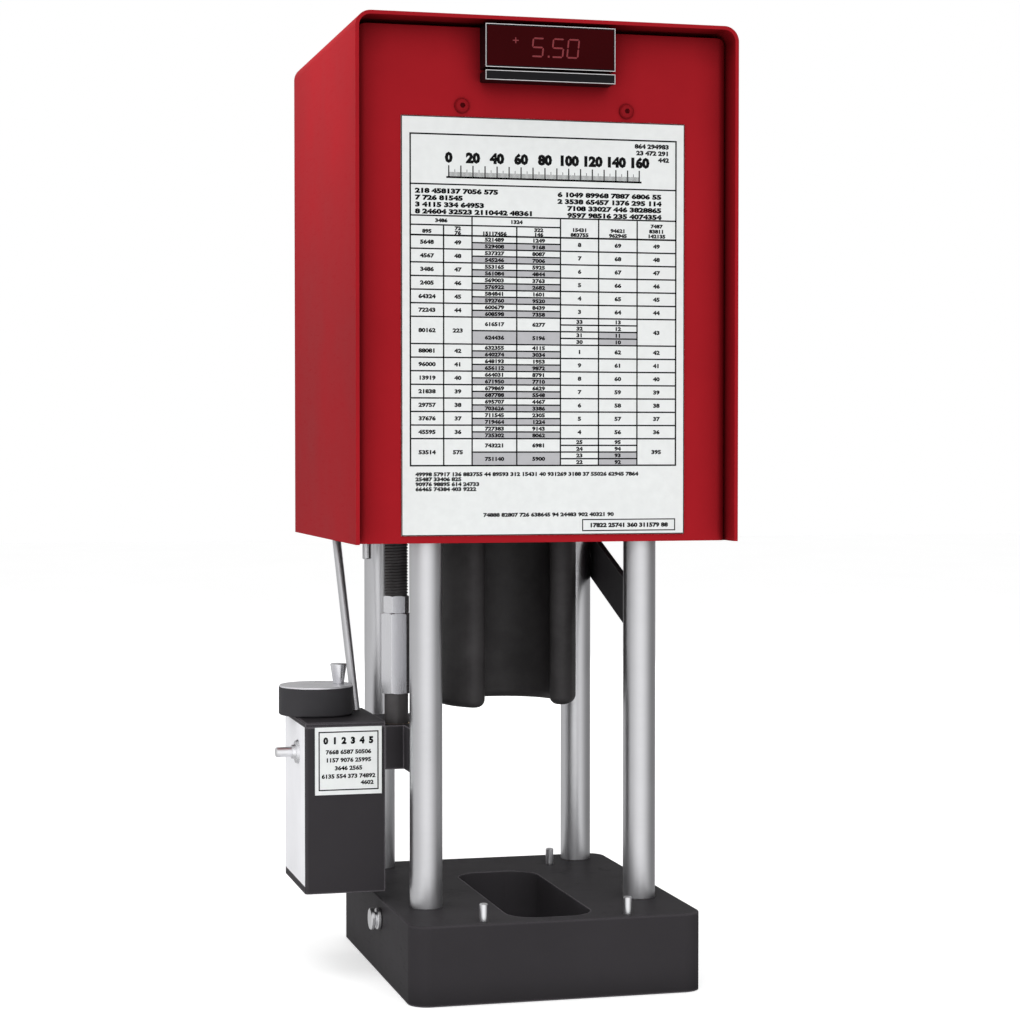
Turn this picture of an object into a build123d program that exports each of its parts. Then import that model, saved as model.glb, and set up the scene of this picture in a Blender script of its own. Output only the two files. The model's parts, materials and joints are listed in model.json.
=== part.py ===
from build123d import *
import math
import os

# Bench hose crimping machine: a four-post vertical press under a sheet-metal head.
# Millimetres. X is to the right, Y to the back, Z up.
# The origin is the centre of the base block's underside.

os.makedirs("parts", exist_ok=True)

# ---------------------------------------------------------------- driving dimensions

# Fits
shaft_gap = 0.05  # radial clearance of a shaft, screw or pin in its hole
cover_gap = 0.3  # clearance of a sheet cover inside the hood
running_gap = 0.5  # clearance under a turning part

# Base block
base_width = 242.0
base_depth = 298.0
base_height = 64.0
base_corner_radius = 16.0
base_edge_radius = 1.5
slot_width = 71.0
slot_length = 210.0
slot_front_wall = 15.0
slot_corner_radius = 24.0

# Locating pins of the die holder
pin_diameter = 7.0
pin_seat_diameter = 6.0
pin_height = 14.0
pin_seat_depth = 18.0
pin_spacing_x = 120.0
pin_spacing_y = 239.0
pin_front_wall = 12.0

# Pull knob on the left of the base, whose nose enters the hose slot
knob_y = -22.0
knob_z = 47.0
knob_radius = 9.0
knob_disc = 3.6
knob_neck_radius = 5.5
knob_neck = 1.8
knob_shaft_radius = 4.0
knob_nose = 3.0
knob_travel = 6.0

# Posts and their nuts
press_y = 30.0
post_diameter = 27.0
post_spacing_x = 183.0
post_spacing_y = 194.0
thread_diameter = 22.0
thread_spare = 5.0
nut_flats = 32.0
nut_height = 18.0
washer_diameter = 38.0
washer_thickness = 3.0
nut_recess = 4.0
counterbore_diameter = 40.0

# Head plate and cylinder
head_bottom = 600.0
head_thickness = 45.0
head_width = 236.0
head_depth = 250.0
head_corner_radius = 10.0
cylinder_diameter = 150.0
cylinder_bore = 100.0
cylinder_height = 130.0
cylinder_floor = 22.0
cylinder_screw_circle = 125.0
cylinder_screw_count = 6
cylinder_screw_radius = 5.0
cylinder_screw_bite = 22.0
bushing_radius = 40.0
bushing_flange_radius = 48.0
bushing_flange = 5.0

# Ram, crosshead and pusher
ram_radius = 35.0
ram_stroke = 24.5
piston_height = 36.0
piston_top_gap = 3.0
seal_width = 4.0
seal_depth = 4.0
seal_gap = 0.03
crosshead_bottom = 400.0
crosshead_thickness = 26.0
crosshead_radius = 66.0
crosshead_bolt_radius = 10.0
crosshead_bolt_bite = 34.0
pusher_bottom = 220.0
pusher_radius = 61.5
pusher_wall = 20.0
pusher_throat_angle = 102.0  # between the centres of the two noses
pusher_throat_turn = 5.0  # degrees to the right
pusher_rim_radius = 7.0
pusher_screw_radius = 4.0
pusher_screw_bite = 16.0
pusher_screw_angles = (15.0, 65.0, 115.0, 165.0)

# Stop rod on the crosshead's left arm
stop_x = -105.5
stop_y = -15.0
stop_arm_radius = 16.0
stud_radius = 10.0
stud_spigot_radius = 6.0
stud_nut_flats = 30.0
stud_nut_height = 12.0
jam_nut_flats = 19.0
jam_nut_height = 14.5
coupling_flats = 22.0
coupling_length = 67.5
spigot_bite = 24.0
plunger_radius = 10.0
plunger_length = 49.0
stop_clearance = 0.5  # left between the coupling and the bracket at full stroke
finger_radius = 3.0
finger_rise = 5.0  # finger's axis above the plunger's lower end
finger_reach = 32.5  # from the plunger's axis

# Position sensor
sensor_x = -110.5
sensor_y = 88.0
sensor_arm_radius = 10.0
sensor_rod_radius = 3.9
sensor_rod_bottom = 343.0
sensor_rod_length = 217.0
sensor_body_radius = 8.0
sensor_body_length = 150.0

# Bracket between the front left post and the control box
bracket_left = -119.0
bracket_right = -76.0
bracket_front = -34.0
bracket_depth = 86.0
bracket_top = 210.0
bracket_height = 36.5
bracket_saddle_half_width = 11.5
bushing_wall = 1.4
bushing_length = 15.0
pocket_width = 28.0
pocket_right = -94.2
bracket_edge_radius = 1.5

# Cap screws of the bracket, the box and the brace
cap_screw_radius = 4.0
cap_screw_head_radius = 6.4
cap_screw_head = 8.0
cap_screw_bite = 12.0
post_screw_offset = 5.5  # to the right of the post's axis
post_screw_inset = 9.0
post_screw_seat = 14.0

# Control box
box_width = 67.0
box_depth = 104.0
box_bottom = 72.0
box_wall = 3.0
box_left_wall = 4.0
box_ledge = 6.0
box_edge_radius = 3.0
lid_thickness = 4.0
lid_edge_radius = 1.2
panel_sheet = 2.0
side_panel_rise = 6.0  # above the box's underside
box_screw_y = 35.0

# Label plate on the control box's front
label_left = -178.0
label_right = -122.0
label_bottom = 154.0
label_thickness = 0.8

# Dial, lead screw and switch
dial_x = -166.0
dial_y = 30.0
dial_radius = 31.6
dial_height = 25.0
dial_cap_thickness = 1.5
dial_cap_inset = 0.4
dial_edge_radius = 1.0
spindle_radius = 5.0
spindle_foot = 3.0
bearing_radius = 9.0
bearing_height = 10.0
spinner_offset = 19.5
spinner_pin_radius = 2.0
spinner_pin_height = 15.0
spinner_pin_bite = 8.0
spinner_bottom_radius = 4.6
spinner_top_radius = 7.2
spinner_height = 17.3
spinner_gap = 0.3
carriage_bottom = 134.0
carriage_thickness = 10.0
carriage_boss_radius = 10.0
guide_x = -171.0
guide_y = 55.0
guide_radius = 4.0
guide_boss_radius = 7.0
switch_x = -134.0
switch_length = 20.0
switch_width = 8.0
switch_height = 10.0
switch_tip_radius = 2.5
switch_tip_height = 4.0

# Push button on the side panel
button_y = 3.0
button_z = 186.0
button_radius = 4.15
button_length = 13.5
button_travel = 4.0
button_collar_radius = 6.0
button_flange_radius = 10.2
button_flange = 2.5
button_step_radius = 6.3
button_step = 3.0
button_thread_radius = 5.0
button_thread_length = 8.5
contact_block_size = 16.0
contact_bore_radius = 6.6
contact_bore_depth = 10.0

# Conduit from the control box to the head
conduit_radius = 3.7
conduit_foot = (-126.5, 58.0)
conduit_knee = (-138.2, 94.0)
conduit_knee_z = 376.0
conduit_bend_radius = 60.0
conduit_end_bite = 6.0
conduit_foot_bite = 9.0
terminal_box_height = 50.0
terminal_box_depth = 40.0
terminal_box_width = 34.0
terminal_box_bottom = 602.0

# Hood and its panels
hood_width = 319.0
hood_bottom = 364.0
hood_front = -120.5
hood_depth = 297.5
hood_sheet = 3.0
hood_corner_radius = 12.5
panel_recess = 19.5
panel_bend_radius = 8.0
panel_flange = 40.0
panel_top_gap = 4.0
rear_recess = 3.0
rear_bend_radius = 6.0
rear_flange = 20.0
front_bracket_width = 170.0
front_bracket_rise = 19.5  # above the panel screws' axis
front_bracket_overlap = 40.0

# Readout, chart and screws on the front panel
readout_width = 108.0
readout_height = 34.7
readout_top_gap = 6.1  # below the hood's top
readout_set_back = 0.5  # behind the hood's front edge
readout_body_inset = 4.0
readout_body_depth = 38.0
window_inset = 1.5
window_thickness = 1.5
strip_height = 7.9
strip_gap = 2.2  # between the strip and the readout
strip_rise = 18.9  # above the panel screws' axis
chart_width = 238.0
chart_height = 336.5
chart_foot_gap = 6.0  # above the hood's lower edge
chart_thickness = 0.8
panel_screw_x = 69.0
panel_screw_rise = 9.0  # above the chart's top
cover_screw_radius = 3.0
cover_screw_head_radius = 6.0
cover_screw_head = 3.4
cover_screw_socket = 4.0
panel_screw_length = 14.0

# Side brace between the right-hand posts
brace_thickness = 5.0
brace_width = 37.5
brace_slope = 19.1  # degrees
brace_rear_z = 343.0  # on the rear post's axis
brace_rear_overhang = 14.0
brace_front_gap = 16.0  # from the front post's surface to the foot's rear face
brace_foot_width = 15.0  # inboard of the bar
brace_foot_gap = 3.0  # from the front post's surface to the foot's step
brace_saddle_inset = 3.0

# Hydraulic couplers at the rear
coupler_spacing = 60.0
coupler_radius = 9.0
coupler_thread_radius = 6.6
coupler_thread_length = 14.0
coupler_flats = 24.0
coupler_hex_length = 11.0
coupler_stand_off = 15.0  # beyond the rear panel
coupler_port_radius = 5.7
coupler_port_depth = 14.0
coupler_opening_gap = 1.0
passage_radius = 4.0
cross_passage_radius = 3.5
pressure_passage_offset = 30.0  # behind the press axis, inside the bore

# Spacers and screws of the rear panel
spacer_radius = 7.0
spacer_spacing_x = 200.0
spacer_inset = 10.0
rear_screw_bite = 14.0

# ---------------------------------------------------------------- worked-out places

base_front = -base_depth / 2
slot_y = base_front + slot_front_wall + slot_length / 2
pin_y = base_front + pin_front_wall + pin_spacing_y / 2

post_radius = post_diameter / 2
thread_radius = thread_diameter / 2
post_left = -post_spacing_x / 2
post_right = post_spacing_x / 2
post_front = press_y - post_spacing_y / 2
post_rear = press_y + post_spacing_y / 2
post_places = {
    "post_front_left": (post_left, post_front),
    "post_front_right": (post_right, post_front),
    "post_rear_left": (post_left, post_rear),
    "post_rear_right": (post_right, post_rear),
}
post_points = list(post_places.values())

head_top = head_bottom + head_thickness
head_front = press_y - head_depth / 2
head_rear = press_y + head_depth / 2
base_counterbore = nut_recess + nut_height + washer_thickness
head_nut_bottom = head_top + washer_thickness
thread_top = head_nut_bottom + nut_height + thread_spare

cylinder_radius = cylinder_diameter / 2
bore_radius = cylinder_bore / 2
cylinder_bottom = head_bottom - cylinder_height
cylinder_floor_top = cylinder_bottom + cylinder_floor
piston_top = head_bottom - piston_top_gap
piston_bottom = piston_top - piston_height
crosshead_top = crosshead_bottom + crosshead_thickness

stop_coupling_bottom = bracket_top + ram_stroke + stop_clearance
coupling_top = stop_coupling_bottom + coupling_length
jam_nut_top = coupling_top + jam_nut_height
plunger_bottom = stop_coupling_bottom - plunger_length
finger_z = plunger_bottom + finger_rise
bracket_bottom = bracket_top - bracket_height
bracket_rear = bracket_front + bracket_depth
pocket_top = bracket_top - bushing_length
post_screw_x = post_left + post_screw_offset
brace_screw_x = post_right + post_screw_offset
post_screw_heights = (bracket_bottom + post_screw_inset, bracket_top - post_screw_inset)

box_right = bracket_left
box_left = box_right - box_width
box_front = bracket_front
box_rear = box_front + box_depth
box_top = bracket_top
box_floor = box_bottom + box_wall
lid_top = box_top + lid_thickness
dial_bottom = lid_top + running_gap
dial_body_top = dial_bottom + dial_height - dial_cap_thickness
dial_top = dial_bottom + dial_height
spinner_x = dial_x + spinner_offset
carriage_top = carriage_bottom + carriage_thickness
side_panel_inner = box_left + panel_sheet
side_panel_bottom = box_bottom + side_panel_rise

chart_bottom = hood_bottom + chart_foot_gap
panel_screw_z = chart_bottom + chart_height + panel_screw_rise
strip_bottom = panel_screw_z + strip_rise
readout_bottom = strip_bottom + strip_height + strip_gap
hood_top = readout_bottom + readout_height + readout_top_gap
hood_height = hood_top - hood_bottom
front_bracket_top = panel_screw_z + front_bracket_rise
hood_inner_width = hood_width - 2 * hood_sheet
hood_inner_top = hood_top - hood_sheet
hood_inner_radius = hood_corner_radius - hood_sheet
panel_width = hood_inner_width - 2 * cover_gap
front_panel_height = hood_height - hood_sheet - panel_top_gap
rear_panel_height = hood_height - hood_sheet - cover_gap
panel_corner_radius = hood_inner_radius - cover_gap
panel_face = hood_front + panel_recess
panel_back = panel_face + panel_sheet
rear_face = hood_front + hood_depth - rear_recess
rear_inside = rear_face - panel_sheet
readout_front = hood_front + readout_set_back
readout_proud = panel_face - readout_front

coupler_z = head_bottom + head_thickness / 2
window_width = readout_width - 2 * window_inset
window_height = readout_height - 2 * window_inset
window_back = readout_front + window_thickness

upward = (Align.CENTER, Align.CENTER, Align.MIN)
corner = (Align.MIN, Align.MIN, Align.MIN)


# ---------------------------------------------------------------- helpers


def upright(x=0.0, y=0.0):
    """Plane facing the front, with its local y axis up."""
    return Plane(origin=(x, y, 0), x_dir=(1, 0, 0), z_dir=(0, -1, 0))


def leftward(x, y, z):
    """Plane whose local y axis points to the left, for parts turned about X."""
    return Plane(origin=(x, y, z), x_dir=(0, 0, 1), z_dir=(0, -1, 0))


def forward(x, y, z):
    """Plane whose local y axis points to the front, for parts turned about Y."""
    return Plane(origin=(x, y, z), x_dir=(1, 0, 0), z_dir=(0, 0, -1))


def turned(plane, *outline):
    """Add an outline of (radius, height) points turned about the plane's y axis."""
    with BuildSketch(plane) as section:
        with BuildLine():
            Polyline(*outline, close=True)
        make_face()
    revolve(section.sketch, axis=Axis(plane.origin, plane.y_dir))


def block(low, high, mode=Mode.ADD):
    """Add or cut a box between two corners."""
    size = [high[i] - low[i] for i in range(3)]
    with Locations(low):
        Box(*size, align=corner, mode=mode)


def rod(plane, radius, start, end, mode=Mode.ADD):
    """Add or cut a round bar along the plane's y axis."""
    normal = Plane(origin=plane.origin + plane.y_dir * start, z_dir=plane.y_dir)
    with BuildSketch(normal) as section:
        Circle(radius)
    extrude(section.sketch, amount=end - start, mode=mode)


def hexagon(plane, flats, start, end, chamfer_by=0.0):
    """Add a hexagonal bar along the plane's y axis, its corners turned off at both ends."""
    normal = Plane(origin=plane.origin + plane.y_dir * start, x_dir=plane.x_dir, z_dir=plane.y_dir)
    with BuildSketch(normal) as section:
        RegularPolygon(flats / 2, 6, major_radius=False)
    extrude(section.sketch, amount=end - start)
    if chamfer_by:
        corner_radius = flats / math.sqrt(3)
        inner = corner_radius - chamfer_by
        lip = chamfer_by / 2
        with BuildSketch(plane) as envelope:
            with BuildLine():
                Polyline(
                    (0, start), (inner, start), (corner_radius, start + lip),
                    (corner_radius, end - lip), (inner, end), (0, end), close=True,
                )
            make_face()
        turned_off = revolve(
            envelope.sketch, axis=Axis(plane.origin, plane.y_dir), mode=Mode.PRIVATE
        )
        add(turned_off, mode=Mode.INTERSECT)


def socket_screw(plane, radius, head_radius, head, length):
    """Add a socket head cap screw whose head stands on the plane, head outwards."""
    rod(plane, radius, -length, 0)
    rod(plane, head_radius, 0, head)
    hexagon_cut(plane, radius * 1.3, head / 2, head)


def hexagon_cut(plane, flats, start, end):
    """Cut a hexagonal socket along the plane's y axis."""
    normal = Plane(origin=plane.origin + plane.y_dir * start, x_dir=plane.x_dir, z_dir=plane.y_dir)
    with BuildSketch(normal) as section:
        RegularPolygon(flats / 2, 6, major_radius=False)
    extrude(section.sketch, amount=end - start, mode=Mode.SUBTRACT)


def save(builder, name):
    """Label a finished piece and write its file."""
    builder.part.label = name
    export_step(builder.part, f"parts/{name}.step")


# ---------------------------------------------------------------- base

with BuildPart() as base_block:
    with BuildSketch():
        RectangleRounded(base_width, base_depth, base_corner_radius)
        with Locations((0, slot_y)):
            RectangleRounded(slot_width, slot_length, slot_corner_radius, mode=Mode.SUBTRACT)
    extrude(amount=base_height)
    outer_rims = base_block.faces().sort_by(Axis.Z)[-1].outer_wire().edges()
    fillet(outer_rims, base_edge_radius)
    with BuildSketch():
        with Locations(*post_points):
            Circle(counterbore_diameter / 2)
    extrude(amount=base_counterbore, mode=Mode.SUBTRACT)
    with BuildSketch():
        with Locations(*post_points):
            Circle(thread_radius + shaft_gap)
    extrude(amount=base_height, mode=Mode.SUBTRACT)
    with BuildSketch(Plane.XY.offset(base_height)):
        with Locations((0, pin_y)):
            with GridLocations(pin_spacing_x, pin_spacing_y, 2, 2):
                Circle(pin_seat_diameter / 2 + shaft_gap)
    extrude(amount=-pin_seat_depth, mode=Mode.SUBTRACT)
    knob_line = leftward(0, knob_y, knob_z)
    rod(knob_line, knob_shaft_radius + shaft_gap, slot_width / 4, base_width / 2 + 1, Mode.SUBTRACT)
save(base_block, "base_block")

with BuildPart() as locating_pins:
    with BuildSketch(Plane.XY.offset(base_height - pin_seat_depth)):
        with Locations((0, pin_y)):
            with GridLocations(pin_spacing_x, pin_spacing_y, 2, 2):
                Circle(pin_seat_diameter / 2)
    extrude(amount=pin_seat_depth)
    with BuildSketch(Plane.XY.offset(base_height)):
        with Locations((0, pin_y)):
            with GridLocations(pin_spacing_x, pin_spacing_y, 2, 2):
                Circle(pin_diameter / 2)
    extrude(amount=pin_height)
    pin_rims = locating_pins.edges().group_by(Axis.Z)[-1]
    chamfer(pin_rims, pin_diameter / 10)
save(locating_pins, "locating_pins")

with BuildPart() as pull_knob:
    knob_outer = base_width / 2 + 2 * knob_disc + knob_neck
    turned(
        leftward(0, knob_y, knob_z),
        (0, slot_width / 2 - knob_nose),
        (knob_shaft_radius - 1, slot_width / 2 - knob_nose),
        (knob_shaft_radius, slot_width / 2 - knob_nose + 1),
        (knob_shaft_radius, base_width / 2),
        (knob_radius, base_width / 2),
        (knob_radius, base_width / 2 + knob_disc),
        (knob_neck_radius, base_width / 2 + knob_disc),
        (knob_neck_radius, base_width / 2 + knob_disc + knob_neck),
        (knob_radius, base_width / 2 + knob_disc + knob_neck),
        (knob_radius, knob_outer),
        (0, knob_outer),
    )
    knob_rims = pull_knob.edges().filter_by(GeomType.CIRCLE)
    chamfer([rim for rim in knob_rims if rim.radius > knob_radius - 0.1], knob_disc / 5)
save(pull_knob, "pull_knob")

# ---------------------------------------------------------------- posts and nuts

brace_tilt = math.tan(math.radians(brace_slope))
brace_front = post_front + post_radius + brace_front_gap
brace_front_z = brace_rear_z - (post_rear - brace_front) * brace_tilt

for post_name, (post_x, post_y) in post_places.items():
    with BuildPart() as post:
        turned(
            upright(post_x, post_y),
            (0, nut_recess - 1),
            (thread_radius, nut_recess - 1),
            (thread_radius, base_height),
            (post_radius, base_height),
            (post_radius, head_bottom),
            (thread_radius, head_bottom),
            (thread_radius, thread_top),
            (0, thread_top),
        )
        if post_name == "post_front_left":
            for screw_z in post_screw_heights:
                rod(
                    forward(post_screw_x, post_front + post_radius, screw_z),
                    cap_screw_radius + shaft_gap, -1, cap_screw_bite + 2, Mode.SUBTRACT,
                )
        if post_name == "post_front_right":
            rod(
                forward(brace_screw_x, post_front + post_radius, brace_front_z),
                cap_screw_radius + shaft_gap, -1, cap_screw_bite + 2, Mode.SUBTRACT,
            )
        if post_name == "post_rear_right":
            rod(
                leftward(post_x + post_radius, post_rear, brace_rear_z),
                cap_screw_radius + shaft_gap, -1, cap_screw_bite + 2, Mode.SUBTRACT,
            )
    save(post, post_name)

with BuildPart() as tie_nuts:
    for nut_bottom in (nut_recess, head_nut_bottom):
        with BuildSketch(Plane.XY.offset(nut_bottom)):
            with Locations(*post_points):
                RegularPolygon(nut_flats / 2, 6, major_radius=False)
                Circle(thread_radius + shaft_gap, mode=Mode.SUBTRACT)
        extrude(amount=nut_height)
save(tie_nuts, "tie_nuts")

with BuildPart() as tie_washers:
    for washer_bottom in (nut_recess + nut_height, head_top):
        with BuildSketch(Plane.XY.offset(washer_bottom)):
            with Locations(*post_points):
                Circle(washer_diameter / 2)
                Circle(thread_radius + shaft_gap, mode=Mode.SUBTRACT)
        extrude(amount=washer_thickness)
save(tie_washers, "tie_washers")

# ---------------------------------------------------------------- head plate and cylinder

pressure_x = coupler_spacing / 2
pressure_passage = (pressure_x, press_y + pressure_passage_offset)
return_reach = math.sqrt((cylinder_screw_circle / 2) ** 2 - pressure_x**2)
return_passage = (-pressure_x, press_y + return_reach)
passages = (pressure_passage, return_passage)
cylinder_screw_angle = 180 / cylinder_screw_count
rear_screw_points = [
    (side * spacer_spacing_x / 2, level)
    for side in (-1, 1)
    for level in (head_bottom + spacer_inset, head_top - spacer_inset)
]


def cylinder_screw_places():
    """Places of the screws round the cylinder's rim."""
    return PolarLocations(
        cylinder_screw_circle / 2, cylinder_screw_count, start_angle=cylinder_screw_angle
    )


with BuildPart() as head_plate:
    with BuildSketch(Plane.XY.offset(head_bottom)):
        with Locations((0, press_y)):
            RectangleRounded(head_width, head_depth, head_corner_radius)
        with Locations(*post_points):
            Circle(thread_radius + shaft_gap, mode=Mode.SUBTRACT)
        with Locations((0, press_y)):
            with cylinder_screw_places():
                Circle(cylinder_screw_radius + shaft_gap, mode=Mode.SUBTRACT)
    extrude(amount=head_thickness)
    for port_x, passage_y in passages:
        port = forward(port_x, head_rear, coupler_z)
        rod(port, coupler_thread_radius + shaft_gap, 0, coupler_thread_length + 2, Mode.SUBTRACT)
        rod(port, cross_passage_radius, 0, head_rear - passage_y, Mode.SUBTRACT)
        passage_top = coupler_z + passage_radius + 1
        rod(upright(port_x, passage_y), passage_radius, head_bottom, passage_top, Mode.SUBTRACT)
    for screw_x, screw_z in rear_screw_points:
        rod(
            forward(screw_x, head_rear, screw_z), cover_screw_radius + shaft_gap,
            0, rear_screw_bite + 2, Mode.SUBTRACT,
        )
save(head_plate, "head_plate")

with BuildPart() as cylinder_body:
    turned(
        upright(0, press_y),
        (bushing_radius, cylinder_bottom),
        (cylinder_radius, cylinder_bottom),
        (cylinder_radius, head_bottom),
        (bore_radius, head_bottom),
        (bore_radius, cylinder_floor_top),
        (bushing_radius, cylinder_floor_top),
    )
    with BuildSketch(Plane.XY.offset(head_bottom)):
        with Locations((0, press_y)):
            with cylinder_screw_places():
                Circle(cylinder_screw_radius + shaft_gap)
    extrude(amount=-cylinder_screw_bite - 2, mode=Mode.SUBTRACT)
    return_x, return_y = return_passage
    return_port_z = cylinder_floor_top + 2 * passage_radius
    return_end = return_port_z - passage_radius - 1
    rod(upright(return_x, return_y), passage_radius, return_end, head_bottom, Mode.SUBTRACT)
    rod(
        forward(return_x, return_y, return_port_z), cross_passage_radius,
        0, return_y - press_y, Mode.SUBTRACT,
    )
save(cylinder_body, "cylinder_body")

with BuildPart() as cylinder_screws:
    with BuildSketch(Plane.XY.offset(head_bottom - cylinder_screw_bite)):
        with Locations((0, press_y)):
            with cylinder_screw_places():
                Circle(cylinder_screw_radius)
    extrude(amount=cylinder_screw_bite + head_thickness)
    with BuildSketch(Plane.XY.offset(head_top)):
        with Locations((0, press_y)):
            with cylinder_screw_places():
                Circle(cylinder_screw_radius * 1.6)
                RegularPolygon(cylinder_screw_radius * 0.8, 6, mode=Mode.SUBTRACT)
    extrude(amount=cylinder_screw_radius * 2)
save(cylinder_screws, "cylinder_screws")

with BuildPart() as rod_bushing:
    turned(
        upright(0, press_y),
        (ram_radius + shaft_gap, cylinder_bottom - bushing_flange),
        (bushing_flange_radius, cylinder_bottom - bushing_flange),
        (bushing_flange_radius, cylinder_bottom),
        (bushing_radius - shaft_gap, cylinder_bottom),
        (bushing_radius - shaft_gap, cylinder_floor_top),
        (ram_radius + shaft_gap, cylinder_floor_top),
    )
save(rod_bushing, "rod_bushing")

# ---------------------------------------------------------------- ram and crosshead

piston_radius = bore_radius - shaft_gap
groove_radius = piston_radius - seal_depth
lower_seal = piston_bottom + 2 * seal_width
upper_seal = piston_top - 3 * seal_width

with BuildPart() as ram:
    turned(
        upright(0, press_y),
        (0, crosshead_top),
        (ram_radius, crosshead_top),
        (ram_radius, piston_bottom),
        (piston_radius, piston_bottom),
        (piston_radius, lower_seal),
        (groove_radius, lower_seal),
        (groove_radius, lower_seal + seal_width),
        (piston_radius, lower_seal + seal_width),
        (piston_radius, upper_seal),
        (groove_radius, upper_seal),
        (groove_radius, upper_seal + seal_width),
        (piston_radius, upper_seal + seal_width),
        (piston_radius, piston_top),
        (0, piston_top),
    )
    rod(
        upright(0, press_y),
        crosshead_bolt_radius + shaft_gap, crosshead_top, crosshead_top + crosshead_bolt_bite + 2,
        Mode.SUBTRACT,
    )
save(ram, "ram")

with BuildPart() as piston_seals:
    for seal_bottom in (lower_seal, upper_seal):
        turned(
            upright(0, press_y),
            (groove_radius + seal_gap, seal_bottom + seal_gap),
            (bore_radius - seal_gap, seal_bottom + seal_gap),
            (bore_radius - seal_gap, seal_bottom + seal_width - seal_gap),
            (groove_radius + seal_gap, seal_bottom + seal_width - seal_gap),
        )
save(piston_seals, "piston_seals")

pusher_mid_radius = pusher_radius - pusher_wall / 2
bolt_head_radius = crosshead_bolt_radius * 1.5
bolt_head = crosshead_bolt_radius * 1.6


def arm_outline(root_radius, end_x, end_y, end_radius):
    """Add a tapered arm of the crosshead, from under the ram to an eye."""
    reach = math.hypot(end_x, end_y - press_y)
    angle = math.degrees(math.atan2(end_y - press_y, end_x))
    plane = Plane(
        origin=(0, press_y, crosshead_bottom),
        x_dir=(math.cos(math.radians(angle)), math.sin(math.radians(angle)), 0),
        z_dir=(0, 0, 1),
    )
    with BuildSketch(plane) as outline:
        with BuildLine():
            Polyline(
                (0, -root_radius), (reach, -end_radius), (reach, end_radius), (0, root_radius),
                close=True,
            )
        make_face()
        with Locations((reach, 0)):
            Circle(end_radius)
    extrude(outline.sketch, amount=crosshead_thickness)


with BuildPart() as crosshead:
    with BuildSketch(Plane.XY.offset(crosshead_bottom)):
        with Locations((0, press_y)):
            Circle(crosshead_radius)
    extrude(amount=crosshead_thickness)
    arm_outline(30, stop_x, stop_y, stop_arm_radius)
    arm_outline(24, sensor_x, sensor_y, sensor_arm_radius)
    with BuildSketch(Plane.XY.offset(crosshead_bottom)):
        with Locations((0, press_y)):
            Circle(crosshead_bolt_radius + shaft_gap)
            for angle in pusher_screw_angles:
                with PolarLocations(pusher_mid_radius, 1, start_angle=angle):
                    Circle(pusher_screw_radius + shaft_gap)
        with Locations((stop_x, stop_y)):
            Circle(stud_radius + shaft_gap)
        with Locations((sensor_x, sensor_y)):
            Circle(sensor_rod_radius + shaft_gap)
    extrude(amount=crosshead_thickness, mode=Mode.SUBTRACT)
    rod(
        upright(0, press_y), bolt_head_radius + 1, crosshead_bottom, crosshead_bottom + bolt_head,
        Mode.SUBTRACT,
    )
save(crosshead, "crosshead")

with BuildPart() as crosshead_bolt:
    bolt_seat = crosshead_bottom + bolt_head
    rod(
        upright(0, press_y),
        crosshead_bolt_radius, bolt_seat, crosshead_top + crosshead_bolt_bite,
    )
    rod(upright(0, press_y), bolt_head_radius, crosshead_bottom, bolt_seat)
    hexagon_cut(upright(0, press_y), bolt_head_radius, crosshead_bottom, bolt_seat - bolt_head / 2)
save(crosshead_bolt, "crosshead_bolt")

with BuildPart() as pusher:
    with BuildSketch(Plane.XY.offset(pusher_bottom)):
        with BuildLine(mode=Mode.PRIVATE) as pusher_line:
            CenterArc(
                (0, press_y), pusher_mid_radius,
                start_angle=-90 + pusher_throat_turn + pusher_throat_angle / 2,
                arc_size=360 - pusher_throat_angle,
            )
        SlotArc(pusher_line.edges()[0], pusher_wall)
    extrude(amount=crosshead_bottom - pusher_bottom)
    pusher_rim = pusher.edges().group_by(Axis.Z)[0]
    fillet(pusher_rim, pusher_rim_radius)
    with BuildSketch(Plane.XY.offset(crosshead_bottom)):
        with Locations((0, press_y)):
            for angle in pusher_screw_angles:
                with PolarLocations(pusher_mid_radius, 1, start_angle=angle):
                    Circle(pusher_screw_radius + shaft_gap)
    extrude(amount=-pusher_screw_bite - 2, mode=Mode.SUBTRACT)
save(pusher, "pusher")

with BuildPart() as pusher_screws:
    for angle in pusher_screw_angles:
        screw_x = pusher_mid_radius * math.cos(math.radians(angle))
        screw_y = press_y + pusher_mid_radius * math.sin(math.radians(angle))
        socket_screw(
            Plane(origin=(screw_x, screw_y, crosshead_top), x_dir=(1, 0, 0), z_dir=(0, -1, 0)),
            pusher_screw_radius, pusher_screw_radius * 1.6, pusher_screw_radius * 2,
            crosshead_thickness + pusher_screw_bite,
        )
save(pusher_screws, "pusher_screws")

# ---------------------------------------------------------------- stop rod

stop_line = upright(stop_x, stop_y)

with BuildPart() as stop_stud:
    stud_top = crosshead_top + stud_nut_height + thread_spare
    turned(
        stop_line,
        (0, coupling_top - spigot_bite),
        (stud_spigot_radius, coupling_top - spigot_bite),
        (stud_spigot_radius, jam_nut_top),
        (stud_radius - 1, jam_nut_top),
        (stud_radius, jam_nut_top + 1),
        (stud_radius, stud_top),
        (0, stud_top),
    )
save(stop_stud, "stop_stud")

with BuildPart() as stud_nut:
    hexagon(stop_line, stud_nut_flats, crosshead_top, crosshead_top + stud_nut_height, 2)
    rod(
        stop_line, stud_radius + shaft_gap, crosshead_top, crosshead_top + stud_nut_height,
        Mode.SUBTRACT,
    )
save(stud_nut, "stud_nut")

with BuildPart() as jam_nut:
    hexagon(stop_line, jam_nut_flats, coupling_top, jam_nut_top, 1.2)
    rod(stop_line, stud_spigot_radius + shaft_gap, coupling_top, jam_nut_top, Mode.SUBTRACT)
save(jam_nut, "jam_nut")

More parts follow.
